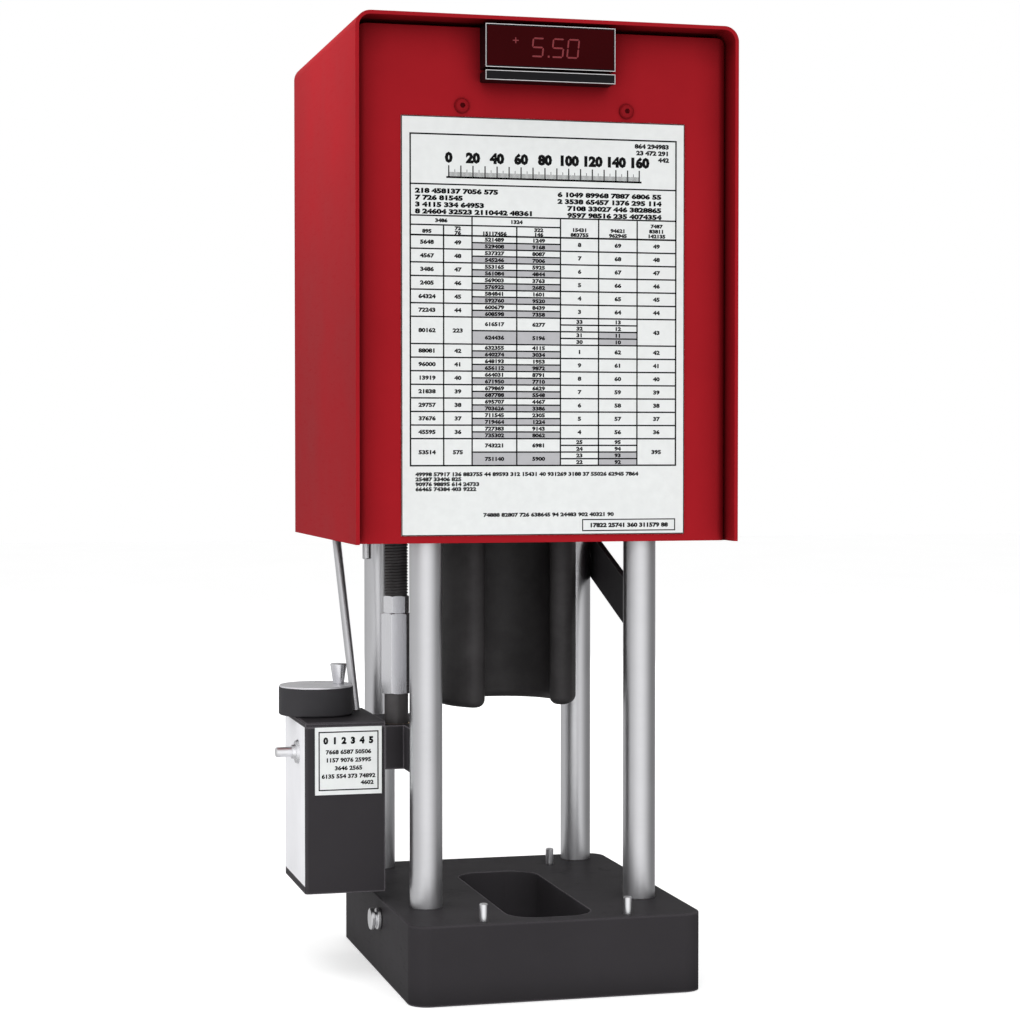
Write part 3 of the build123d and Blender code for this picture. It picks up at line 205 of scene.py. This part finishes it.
def metal(name, colour, rough=0.25, stretch=(1, 1, 60), grain=0.25, tint=0.10, uneven=1.0):
    """Machined metal: fine tool marks along one way, patches of duller finish."""
    b = Build(name)
    lines = b.noise(scale=60.0, detail=6.0, rough=0.65, stretch=stretch)
    patch = b.noise(scale=22.0)
    b.colour(b.mix(b.ramp(patch, 0.3, 0.7), shade(colour, 1 - tint), shade(colour, 1 + tint / 2)))
    finish = b.ramp(lines, 0.3, 0.7, start=rough - 0.05 * uneven, end=rough + 0.06 * uneven)
    dull = b.ramp(patch, 0.5, 0.8, end=0.06 * uneven)
    b.roughness(b.sum(finish, dull))
    b.set(metallic=1.0, specular=0.5)
    b.normal(b.bump(lines, grain, 0.00005, b.rounded(0.0004)))


def blacked(name, colour, rough, specular):
    """Black oxide on machined steel: tool marks, rubbed patches and a faint blue cast."""
    b = Build(name)
    lines = b.noise(scale=50.0, detail=5.0, rough=0.6, stretch=(1, 1, 40))
    patch = b.noise(scale=28.0, detail=5.0, rough=0.65)
    tone = b.mix(b.ramp(patch, 0.35, 0.72), shade(colour, 0.85), shade(colour, 1.35))
    tone = b.mix(b.ramp(lines, 0.6, 0.8, end=0.4), tone, shade(colour, 1.8))
    b.colour(tone)
    b.roughness(b.ramp(lines, 0.25, 0.75, start=rough - 0.07, end=rough + 0.09))
    b.set(metallic=0.15, specular=specular)
    b.normal(b.bump(lines, 0.25, 0.00006, b.rounded(0.0005)))


def moulded(name, colour, rough, grain=0.2, specular=0.5):
    """Moulded plastic or rubber: a fine leathery grain and uneven gloss."""
    b = Build(name)
    fine = b.noise(scale=700.0, detail=3.0, rough=0.6)
    wide = b.noise(scale=25.0, detail=4.0, rough=0.5)
    b.colour(b.mix(b.ramp(wide, 0.3, 0.7), shade(colour, 0.92), shade(colour, 1.08)))
    b.roughness(b.ramp(fine, 0.3, 0.7, start=rough - 0.06, end=rough + 0.08))
    b.set(metallic=0.0, specular=specular)
    b.normal(b.bump(fine, grain, 0.00012, b.rounded(0.0003)))


def printed(name, colour, rough, spread, specular):
    """Printed plastic sheet or ink: slight mottling of tone and gloss."""
    b = Build(name)
    mottle = b.noise(scale=140.0, detail=5.0, rough=0.6)
    wide = b.noise(scale=14.0, detail=3.0, rough=0.5)
    tone = b.mix(b.ramp(mottle, 0.3, 0.7), shade(colour, 1 - spread), shade(colour, 1 + spread))
    tone = b.mix(b.ramp(wide, 0.4, 0.8, end=0.3), tone, shade(colour, 1 - 2 * spread))
    b.colour(tone)
    b.roughness(b.ramp(mottle, 0.3, 0.7, start=rough - 0.04, end=rough + 0.06))
    b.set(metallic=0.0, specular=specular)
    b.normal(b.bump(mottle, 0.05, 0.00005))


def spun(name, colour, centre, rough=0.3):
    """Spun cap: rings about a centre and a soft sheen across them."""
    b = Build(name)
    place = b.add("ShaderNodeMapping")
    place.inputs["Location"].default_value = (-centre[0], -centre[1], 0)
    b.link(b.coord, place.inputs["Vector"])
    rings = b.add("ShaderNodeTexWave", wave_type="RINGS", rings_direction="Z")
    rings.inputs["Scale"].default_value = 900.0
    rings.inputs["Distortion"].default_value = 1.5
    rings.inputs["Detail"].default_value = 3.0
    b.link(place.outputs[0], rings.inputs["Vector"])
    ring = rings.outputs["Fac"]
    patch = b.noise(scale=30.0, detail=3.0, rough=0.5)
    tone = b.mix(b.ramp(ring, 0.0, 1.0), shade(colour, 0.88), shade(colour, 1.08))
    tone = b.mix(b.ramp(patch, 0.4, 0.8, end=0.4), tone, shade(colour, 0.8))
    b.colour(tone)
    b.roughness(b.ramp(patch, 0.3, 0.7, start=rough - 0.05, end=rough + 0.08))
    b.set(metallic=0.5)
    b.normal(b.bump(ring, 0.12, 0.00005, b.rounded(0.0004)))


def glowing(name, colour, strength):
    """Lit segments behind a tinted window, a little uneven along each bar."""
    b = Build(name)
    wave = b.noise(scale=300.0, detail=2.0, rough=0.5)
    tone = b.mix(b.ramp(wave, 0.3, 0.7), shade(colour, 0.8), colour)
    b.colour(tone)
    b.link(tone, b.bsdf.inputs["Emission Color"])
    b.set(emit=strength, roughness=0.4)


(low, high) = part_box("dial_cap")
dial_centre = ((low[0] + high[0]) / 2, (low[1] + high[1]) / 2)

BLACK = (0.040, 0.0370, 0.0405)
RED = (0.370, 0.0130, 0.0195)
# black enamel: strong painted highlights along its sharp edges, and painted shade in its corners
enamel("black_enamel", BLACK, 0.44, 0.02, peel=0.08, corner_shade=0.6, edge_highlight=0.9, bright=4.2,
       band=0.0022)
# red enamel: painted shade along the hood's rim, round the readout and in other corners, and
# painted highlights along edges
enamel("red_enamel", RED, 0.42, 0.008)
# screw heads: a darker, shaded copy of the red enamel, with dark painted shade in a ring where each
# head meets the panel, and painted highlights on their rims
enamel("shaded_red_screw", shade(RED, 0.74), 0.42, 0.02, reach=0.008, corner_shade=0.3, edge_highlight=0.7)
# grey enamel: painted shade in corners and painted highlights along edges
enamel("grey_enamel", (0.90, 0.90, 0.93), 0.45, 0.2, coat=0.06, corner_shade=0.75)
metal("ground_steel", (0.71, 0.71, 0.73), 0.33, stretch=(1, 1, 30), grain=0.12, tint=0.05)
metal("turned_steel", (0.92, 0.92, 0.94), 0.30, stretch=(25, 1, 1), grain=0.08, uneven=0.5)
metal("plated_steel", (0.90, 0.90, 0.93), 0.26, stretch=(30, 30, 0.6), grain=0.004,
      tint=0.02, uneven=0.3)
metal("bronze", (0.55, 0.36, 0.16), 0.33)
metal("milled_alloy", (0.62, 0.62, 0.64), 0.36, stretch=(20, 1, 1))
metal("conduit_grey", (0.72, 0.72, 0.74), 0.38, stretch=(1, 1, 8))
blacked("black_steel", (0.058, 0.0545, 0.0555), 0.42, 0.2)
blacked("cast_black", (0.040, 0.0375, 0.0385), 0.50, 0.16)
moulded("seal_rubber", (0.02, 0.02, 0.022), 0.6)
moulded("dial_black", (0.045, 0.0435, 0.047), 0.45, grain=0.12, specular=0.05)
moulded("black_moulding", (0.010, 0.0095, 0.011), 0.40, grain=0.08, specular=0.08)
moulded("window_red", (0.036, 0.0004, 0.0012), 0.30, grain=0.02, specular=0.03)
spun("satin_cap", (0.78, 0.78, 0.81), dial_centre)
printed("printed_white", (0.84, 0.86, 0.855), 0.45, spread=0.03, specular=0.15)
printed("print_grey", (0.50, 0.50, 0.52), 0.5, spread=0.04, specular=0.15)
printed("ink", (0.006, 0.006, 0.0065), 0.6, spread=0.15, specular=0.08)
printed("trim_light", (0.72, 0.71, 0.72), 0.4, spread=0.05, specular=0.4)
glowing("lit_red", (0.20, 0.006, 0.012), 0.14)

# nodes that look otherwise than their slot in the record
special = {
    "pull_knob": "turned_steel", "button": "turned_steel", "trip_finger": "turned_steel",
    "locating_pins": "turned_steel", "switch_carriage": "milled_alloy",
    # the cover screws take the darker copy of the red enamel, painted shade
    "cover_screws": "shaded_red_screw",
}
wears = {item["node"]: item["material_slot"] for item in frame["record"]["subparts"]}
for node_name, node in nodes.items():
    node.data.materials.clear()
    node.data.materials.append(mats[special.get(node_name, wears[node_name])])


# ---------------------------------------------------------------- building pieces


def piece(name, verts, faces, material, body, smooth=None):
    mesh = bpy.data.meshes.new(name)
    mesh.from_pydata([tuple(v) for v in verts], [], faces)
    mesh.update()
    mesh.materials.append(mats[material])
    if smooth is not None:
        mesh.polygons.foreach_set("use_smooth", [True] * len(mesh.polygons))
        mesh.set_sharp_from_angle(angle=math.radians(smooth))
    obj = bpy.data.objects.new(name, mesh)
    bpy.context.scene.collection.objects.link(obj)
    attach(obj, body)
    return obj


CAP_HEIGHT = 0.72  # height of a figure in the built-in font, to the font's size


class Sheet:
    """Flat shapes raised a hair from an upright face, gathered into one mesh, in mm."""

    def __init__(self, y, rise=0.05):
        self.y, self.rise = y, rise
        self.verts, self.faces = [], []

    def outline(self, points):
        """A flat shape with a closed outline of (x, z) points, seen from the front."""
        start, count = len(self.verts), len(points)
        for y in (self.y - self.rise, self.y):
            self.verts += [(x * MM, y * MM, z * MM) for x, z in points]
        front = list(range(start, start + count))
        self.faces.append(front)
        self.faces.append([i + count for i in reversed(front)])
        for i in range(count):
            j = (i + 1) % count
            self.faces.append([start + j, start + i, start + count + i, start + count + j])

    def bar(self, x0, z0, x1, z1):
        self.outline([(x0, z0), (x1, z0), (x1, z1), (x0, z1)])

    def across(self, x0, x1, z, width=1.15):
        self.bar(x0, z - width / 2, x1, z + width / 2)

    def up(self, x, z0, z1, width=1.15):
        self.bar(x - width / 2, z0, x + width / 2, z1)

    def frame(self, x0, z0, x1, z1, width=1.25):
        half = width / 2
        self.across(x0 - half, x1 + half, z0, width)
        self.across(x0 - half, x1 + half, z1, width)
        self.up(x0, z0 + half, z1 - half, width)
        self.up(x1, z0 + half, z1 - half, width)

    def frame_in(self, node, inset, width):
        """A frame round a node's front face, its lines inset from the edges."""
        (lo, hi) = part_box(node)
        self.frame(
            lo[0] / MM + inset, lo[2] / MM + inset, hi[0] / MM - inset, hi[2] / MM - inset, width,
        )

    def text(self, words, x, z, height, align="CENTER", bold=0.24, width=1.3):
        """Figures with their middle line at z, made bold and wide for small print."""
        curve = bpy.data.curves.new("figures", "FONT")
        curve.body = words
        curve.size = height / CAP_HEIGHT
        curve.align_x = align
        curve.resolution_u = 2
        curve.offset = bold
        holder = bpy.data.objects.new("figures", curve)
        bpy.context.scene.collection.objects.link(holder)
        bpy.context.view_layer.update()
        mesh = bpy.data.meshes.new_from_object(holder.evaluated_get(
            bpy.context.evaluated_depsgraph_get()))
        start = len(self.verts)
        for v in mesh.vertices:
            self.verts.append((
                (x + v.co.x * width) * MM,
                (self.y - self.rise) * MM,
                (z - height / 2 + v.co.y) * MM,
            ))
        for p in mesh.polygons:
            self.faces.append([start + i for i in p.vertices])
        bpy.data.objects.remove(holder)
        bpy.data.curves.remove(curve)
        bpy.data.meshes.remove(mesh)

    def make(self, name, material):
        return piece(name, self.verts, self.faces, material, "frame")


def figures(count, seed):
    """A number of so many figures, the same on each run."""
    value = (seed * 7919 + 104729) % (9 * 10 ** (count - 1)) + 10 ** (count - 1)
    return str(value)


def words(groups, seed):
    return " ".join(figures(n, seed * 31 + i) for i, n in enumerate(groups))


# ---------------------------------------------------------------- chart on the front panel

(low, high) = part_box("chart_plate")
chart_y = low[1] / MM
ink = Sheet(chart_y)
grey = Sheet(chart_y, rise=0.03)

# the ruling: the columns' edges across, and the heights where each part ends
columns = (-111.6, -84.3, -60.8, -23.6, 13.1, 45.4, 78.3, 111.6)
left, right = columns[0], columns[-1]
top, title_end, notes_end = 692.2, 652.2, 627.0
group_end, head_end, table_end = 619.6, 611.4, 426.5

ink.frame(left, table_end, right, top)
ink.across(left, right, title_end)
ink.across(left, right, notes_end)
ink.across(left, columns[4], group_end)
ink.across(left, right, head_end, width=1.4)
for i in (1, 3):
    ink.up(columns[i], table_end, group_end)
for i in (2, 4, 5, 6):
    ink.up(columns[i], table_end, notes_end)


def middle(first, last=None):
    """The middle of a column, or of the columns from first to last."""
    last = first if last is None else last
    return (columns[first] + columns[last + 1]) / 2


# the table: rows as (first, span), counted in 17 equal heights, so two of the rows are tall
row_unit = (head_end - table_end) / 17
rows = [(i, 1) for i in range(6)] + [(6, 2)] + [(i, 1) for i in range(8, 15)] + [(15, 2)]
row_print = 3.1
close_print = row_print * 0.95
seeds = (1, 20, 40, 80, 160, 180, 200)  # a start for each column's figures
split_seeds = {4: 120, 5: 140}  # and for the columns that a tall row splits in four
for k, (first, span) in enumerate(rows):
    tall = span == 2
    z1 = head_end - first * row_unit
    z0 = z1 - span * row_unit
    zm = (z0 + z1) / 2
    if first:
        ink.across(left, right, z1)
    ink.across(columns[2], columns[4], zm)
    grey.bar(columns[2], z0, columns[4], zm)
    ink.text(figures(4 if k < 4 else 5, k + seeds[0]), middle(0), zm, row_print)
    ink.text(figures(3 if tall else 2, k + seeds[1]), middle(1), zm, row_print)
    for half, z in enumerate(((zm + z1) / 2, (z0 + zm) / 2)):
        ink.text(figures(6, k * 2 + half + seeds[2]), middle(2), z, close_print)
        ink.text(figures(4, k * 2 + half + seeds[3]), middle(3), z, close_print)
    if tall:
        for q in range(4):
            zq = z1 - (q + 0.5) * row_unit / 2
            if q:
                ink.across(columns[4], columns[6], z1 - q * row_unit / 2)
            for i in (4, 5):
                ink.text(figures(2, k + q + split_seeds[i]), middle(i), zq, close_print)
        grey.bar(columns[5], z0, columns[6], zm)
    else:
        ink.text(figures(1, k + seeds[4]), middle(4), zm, row_print)
        ink.text(figures(2, k + seeds[5]), middle(5), zm, row_print)
    ink.text(figures(3 if first == 15 else 2, k + seeds[6]), middle(6), zm, row_print)

# the column heads: two over pairs of columns, then one line for each (column, z, figures)
head_print = 2.8
group_middle = (notes_end + group_end) / 2
ink.text(figures(4, 3), middle(0, 1), group_middle, head_print)
ink.text(figures(4, 5), middle(2, 3), group_middle, head_print)
for i, z, count in (
    (0, 614.6, 3), (1, 617.2, 2), (1, 613.6, 2), (2, 613.6, 8), (3, 617.2, 3), (3, 613.6, 3),
    (4, 618.0, 5), (4, 614.0, 6), (5, 618.0, 5), (5, 614.0, 6),
    (6, 622.4, 4), (6, 618.2, 5), (6, 614.2, 6),
):
    ink.text(figures(count, i * 10 + int(z)), middle(i), z, head_print)


def lines(sheet, groups, seed, x, z, pitch, height, align="CENTER", bold=0.24, width=1.3):
    """Lines of figures one below the other, each given by its groups' lengths."""
    for i, group in enumerate(groups):
        sheet.text(words(group, seed + i), x, z - i * pitch, height, align, bold, width)


# the notes over the table, the lines in the top right corner, and the notes under the table
lines(
    ink, ((3, 6, 4, 3), (1, 3, 5), (1, 4, 3, 5), (1, 5, 5, 7, 5)), seed=1,
    x=left + 4, z=646.9, pitch=5.5, height=3.6, align="LEFT", bold=0.32, width=1.55,
)
lines(
    ink, ((1, 4, 5, 4, 4, 2), (1, 4, 5, 4, 3, 3), (4, 5, 3, 7), (4, 5, 3, 7)), seed=9,
    x=99.0, z=646.4, pitch=5.5, height=3.6, align="RIGHT", bold=0.32, width=1.55,
)
lines(
    ink, ((3, 6), (2, 3, 3), (3,)), seed=15,
    x=105.5, z=687.5, pitch=5.4, height=3.4, align="RIGHT", bold=0.28,
)
lines(
    ink,
    ((5, 5, 3, 6, 2, 5, 3, 5, 2, 6, 4, 2, 5, 5, 4), (5, 5, 3), (5, 5, 3, 5), (5, 5, 3, 4)),
    seed=21, x=-107.5, z=419.6, pitch=4.0, height=2.9, align="LEFT", width=1.33,
)
lines(ink, ((5, 5, 3, 6, 2, 5, 3, 5, 2),), seed=31, x=3.5, z=386.6, pitch=0, height=2.9, width=1.35)
ink.frame(32.0, 373.2, 111.0, 382.2, width=0.9)
lines(ink, ((5, 5, 3, 6, 2),), seed=37, x=71.5, z=377.7, pitch=0, height=3.2, bold=0.28)

# a plain rule in millimetres where the photograph has the maker's title
rule_left, rule_z, rule_length, overhang = -80.0, 658.0, 160, 2
ten_tick, five_tick, one_tick = 9.5, 6.4, 4.2
ink.across(rule_left - overhang, rule_left + rule_length + overhang, rule_z, width=1.5)
for i in range(rule_length + 1):
    tick = ten_tick if i % 10 == 0 else five_tick if i % 5 == 0 else one_tick
    ink.up(rule_left + i, rule_z, rule_z + tick, width=0.42 if i % 10 else 1.0)
for i in range(0, rule_length + 1, 20):
    ink.text(str(i), rule_left + i, z=rule_z + 16.0, height=7.6, bold=0.75, width=1.05)

grey.make("chart_grey_cells", "print_grey")
ink.make("chart_ruling", "ink")
edge = Sheet(chart_y, rise=0.06)
edge.frame_in("chart_plate", inset=0.4, width=0.7)
edge.make("chart_edge", "ink")

# ---------------------------------------------------------------- label on the control box

(low, high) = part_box("label_plate")
x0, x1, z0, z1 = low[0] / MM, high[0] / MM, low[2] / MM, high[2] / MM
label = Sheet(low[1] / MM)
label.frame(x0 + 3.4, z0 + 4.0, x1 - 3.2, z1 - 4.0, width=1.0)
label.text("0  1  2  3  4  5", (x0 + x1) / 2, z1 - 11.0, height=5.2, bold=0.5, width=1.0)
lines(
    label, ((4, 4, 5), (4, 4, 5), (4, 4), (4, 3, 3, 5)), seed=51,
    x=(x0 + x1) / 2, z=z1 - 20.5, pitch=6.7, height=3.3, bold=0.22, width=1.18,
)
lines(
    label, ((4,),), seed=57, x=x1 - 7.0, z=z1 - 46.2, pitch=0, height=3.2, align="RIGHT",
    bold=0.22, width=1.2,
)
label.make("label_ruling", "ink")

# ---------------------------------------------------------------- readout

(low, high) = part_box("readout")
trim = Sheet(low[1] / MM, rise=0.06)
for node_name in ("readout", "readout_strip"):
    trim.frame_in(node_name, inset=0.35, width=0.5)
trim.make("readout_trim", "trim_light")

# seven-segment figures: a is the top bar, then clockwise to f, and g in the middle
SEGMENTS = {"5": "afgcd", "0": "abcdef"}
digit_height, digit_width, lean = 14.4, 8.8, 0.10
bar_width, bar_gap = 1.3, 0.25

(low, high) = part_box("readout_window")
lit = Sheet(low[1] / MM, rise=0.04)


def segment(cx, cz, name):
    """One bar of a leaning figure, a long hexagon with pointed ends."""
    h, w, t = digit_height / 2, digit_width / 2, bar_width / 2
    places = {
        "a": (0, h, True), "g": (0, 0, True), "d": (0, -h, True),
        "f": (-w, h / 2, False), "b": (w, h / 2, False),
        "e": (-w, -h / 2, False), "c": (w, -h / 2, False),
    }
    x, z, flat = places[name]
    reach = (w if flat else h / 2) - bar_gap
    tip = reach - t
    along = [(-reach, 0), (-tip, -t), (tip, -t), (reach, 0), (tip, t), (-tip, t)]
    shape = along if flat else [(-v, u) for u, v in along]
    lit.outline([(cx + x + px + lean * (z + pz), cz + z + pz) for px, pz in shape])


centre_z = (low[2] + high[2]) / 2 / MM - 0.4
for cx, digit in ((-10.8, "5"), (5.9, "5"), (18.5, "0")):
    for name in SEGMENTS[digit]:
        segment(cx, centre_z, name)
lit.bar(-2.7, centre_z - 7.8, -1.2, centre_z - 6.3)

# a small plus sign, of one bar across and two halves up
plus_x, plus_z, plus_half, plus_bar = -29.2, centre_z + 4.9, 2.4, 0.9
lit.across(plus_x - plus_half, plus_x + plus_half, plus_z, plus_bar)
for z0, z1 in ((-2.3, -0.45), (0.45, 2.3)):
    lit.up(plus_x, plus_z + z0, plus_z + z1, plus_bar)
lit.make("readout_figures", "lit_red")

# ---------------------------------------------------------------- thread of the stop stud

PITCH, DEPTH, SPIGOT_RADIUS = 2.5 * MM, 1.1 * MM, 6 * MM
AROUND, PER_PITCH = 56, 6
FLANK, CREST = 1.25, 0.12  # slope of the groove's sides, and how much of the crest is flat

(low, high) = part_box("stop_stud")
cx, cy, radius = (low[0] + high[0]) / 2, (low[1] + high[1]) / 2, (high[0] - low[0]) / 2
thread_low, thread_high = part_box("jam_nut")[1][2], high[2]
turns = (thread_high - thread_low) / PITCH
steps = int(turns * PER_PITCH)


def thread_radius(step, turn):
    """Radius at a step up the thread and a share of the way round."""
    if step in (0, steps):
        return radius - DEPTH
    phase = (turns * step / steps - turn) % 1.0
    dip = 1 - abs(2 * phase - 1)
    return radius - DEPTH * max(0.0, min(1.0, FLANK * dip - CREST))


rings = [(low[2], None), (thread_low, None)]
rings += [(thread_low + (thread_high - thread_low) * k / steps, k) for k in range(steps + 1)]
verts = []
for z, step in rings:
    for i in range(AROUND):
        turn = i / AROUND
        r = SPIGOT_RADIUS if step is None else thread_radius(step, turn)
        angle = 2 * math.pi * turn
        verts.append((cx + r * math.cos(angle), cy + r * math.sin(angle), z))
faces = []
for k in range(len(rings) - 1):
    for i in range(AROUND):
        a, b = k * AROUND + i, k * AROUND + (i + 1) % AROUND
        faces.append([a, b, b + AROUND, a + AROUND])
faces.append(list(reversed(range(AROUND))))
faces.append([(len(rings) - 1) * AROUND + i for i in range(AROUND)])
thread = piece(
    "stop_stud_thread", verts, faces, "black_steel", "ram_unit", smooth=60,
)
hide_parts("stop_stud")

# ---------------------------------------------------------------- floor

FLOOR_HALF = 9.0
FLOOR_DROP = 0.0004  # it lies a hair below the base, so that their faces don't mingle

floor_mesh = bpy.data.meshes.new("floor")
corner_signs = ((-1, -1), (1, -1), (1, 1), (-1, 1))
floor_corners = [(x * FLOOR_HALF, y * FLOOR_HALF, -FLOOR_DROP) for x, y in corner_signs]
floor_mesh.from_pydata(floor_corners, [], [[0, 1, 2, 3]])
floor = bpy.data.objects.new("floor", floor_mesh)
bpy.context.scene.collection.objects.link(floor)
pale = Build("stage_pale")
cloud = pale.ramp(pale.noise(scale=3.0), 0.3, 0.7)
pale.colour(pale.mix(cloud, (0.90, 0.90, 0.90), (0.93, 0.93, 0.93)))
pale.bsdf.inputs["Emission Color"].default_value = WHITE
pale.set(roughness=0.9, specular=0.0, emit=0.50)
floor_mesh.materials.append(pale.mat)
floor.visible_diffuse = False
floor.visible_glossy = False

# ---------------------------------------------------------------- light

# strength of the studio's walls: all round, more in front, more on the left than the right
ALL_ROUND, FRONT, FRONT_FOCUS, LEFT = 0.45, 0.68, 2.2, 0.20
FRONT_WAY, LEFT_WAY = (-0.03, -1.0, 0.05), (-1.0, 0.0, 0.0)

world = bpy.data.worlds.new("studio")
bpy.context.scene.world = world
world.use_nodes = True
tree = world.node_tree


def world_node(kind, inputs=(), **values):
    """A node of the world, with its first inputs set to numbers or linked."""
    node = tree.nodes.new(kind)
    for key, value in values.items():
        setattr(node, key, value)
    for socket, value in zip(node.inputs, inputs):
        if isinstance(value, bpy.types.NodeSocket):
            tree.links.new(value, socket)
        else:
            socket.default_value = value
    return node


def towards(way):
    """How far the world's direction points along a given one, from -1 to 1."""
    sides = world_node("ShaderNodeTexCoord").outputs["Generated"]
    ahead = Vector(way).normalized()
    dot = world_node("ShaderNodeVectorMath", (sides, ahead), operation="DOT_PRODUCT")
    return dot.outputs["Value"]


def combine(operation, a, b):
    return world_node("ShaderNodeMath", (a, b), operation=operation).outputs[0]


front = combine("POWER", combine("MAXIMUM", towards(FRONT_WAY), 0.0), FRONT_FOCUS)
level = combine("ADD", combine("MULTIPLY", front, FRONT), ALL_ROUND)
level = combine("ADD", level, combine("MULTIPLY", towards(LEFT_WAY), LEFT))
walls = tree.nodes["Background"]
walls.inputs["Color"].default_value = WHITE
tree.links.new(level, walls.inputs["Strength"])
backdrop = world_node("ShaderNodeBackground", (WHITE, 1.0))
camera_ray = world_node("ShaderNodeLightPath").outputs["Is Camera Ray"]
seen = world_node("ShaderNodeMixShader", (camera_ray, walls.outputs[0], backdrop.outputs[0]))
tree.links.new(seen.outputs[0], tree.nodes["World Output"].inputs[0])


def area(name, place, target, size, power, spread=180):
    light = bpy.data.lights.new(name, "AREA")
    light.shape = "RECTANGLE"
    light.size, light.size_y = size
    light.energy = power
    light.spread = math.radians(spread)
    lamp = bpy.data.objects.new(name, light)
    lamp.location = place
    lamp.visible_glossy = False
    lamp.visible_camera = False
    lamp.rotation_euler = (Vector(target) - Vector(place)).to_track_quat("-Z", "Y").to_euler()
    bpy.context.scene.collection.objects.link(lamp)


machine_middle = (0, 0, 0.45)
area("key_left", (-0.57, 0.02, 1.05), (-0.12, 0.02, 0.78), (0.30, 0.30), power=0.8, spread=100)
area("front_soft", (0.5, -2.6, 1.2), machine_middle, (1.6, 1.6), power=7.0)
area("front_low", (-0.35, -1.7, 0.22), (0, 0, 0.28), (0.9, 0.4), power=0.5, spread=60)
area("low_left", (-0.90, -0.15, 0.16), (-0.19, 0, 0.15), (0.30, 0.30), power=0.12, spread=40)
area("top_soft", (0.0, -0.6, 2.8), (0, 0, 0.3), (2.2, 1.6), power=14.0)
area("back_soft", (0.7, 2.6, 1.2), machine_middle, (1.6, 1.6), power=13.0)
area("right_soft", (2.6, 0.3, 1.0), machine_middle, (1.6, 1.6), power=7.0)

bpy.context.scene.view_settings.view_transform = "Standard"
bpy.context.scene.view_settings.look = "None"

# ---------------------------------------------------------------- camera

CAMERA_PLACE, YAW, PITCH_DOWN = (-0.51096, -1.97724, 0.44316), 14.405, 1.5594

yaw, down = math.radians(YAW), math.radians(PITCH_DOWN)
look = Vector((math.sin(yaw) * math.cos(down), math.cos(yaw) * math.cos(down), -math.sin(down)))
camera_data = bpy.data.cameras.new("camera")
camera_data.sensor_width = 36.0
camera_data.lens = 84.34
camera_data.clip_end = 50.0
camera = bpy.data.objects.new("camera", camera_data)
camera.location = CAMERA_PLACE
camera.rotation_euler = look.to_track_quat("-Z", "Y").to_euler()
bpy.context.scene.collection.objects.link(camera)
bpy.context.scene.camera = camera
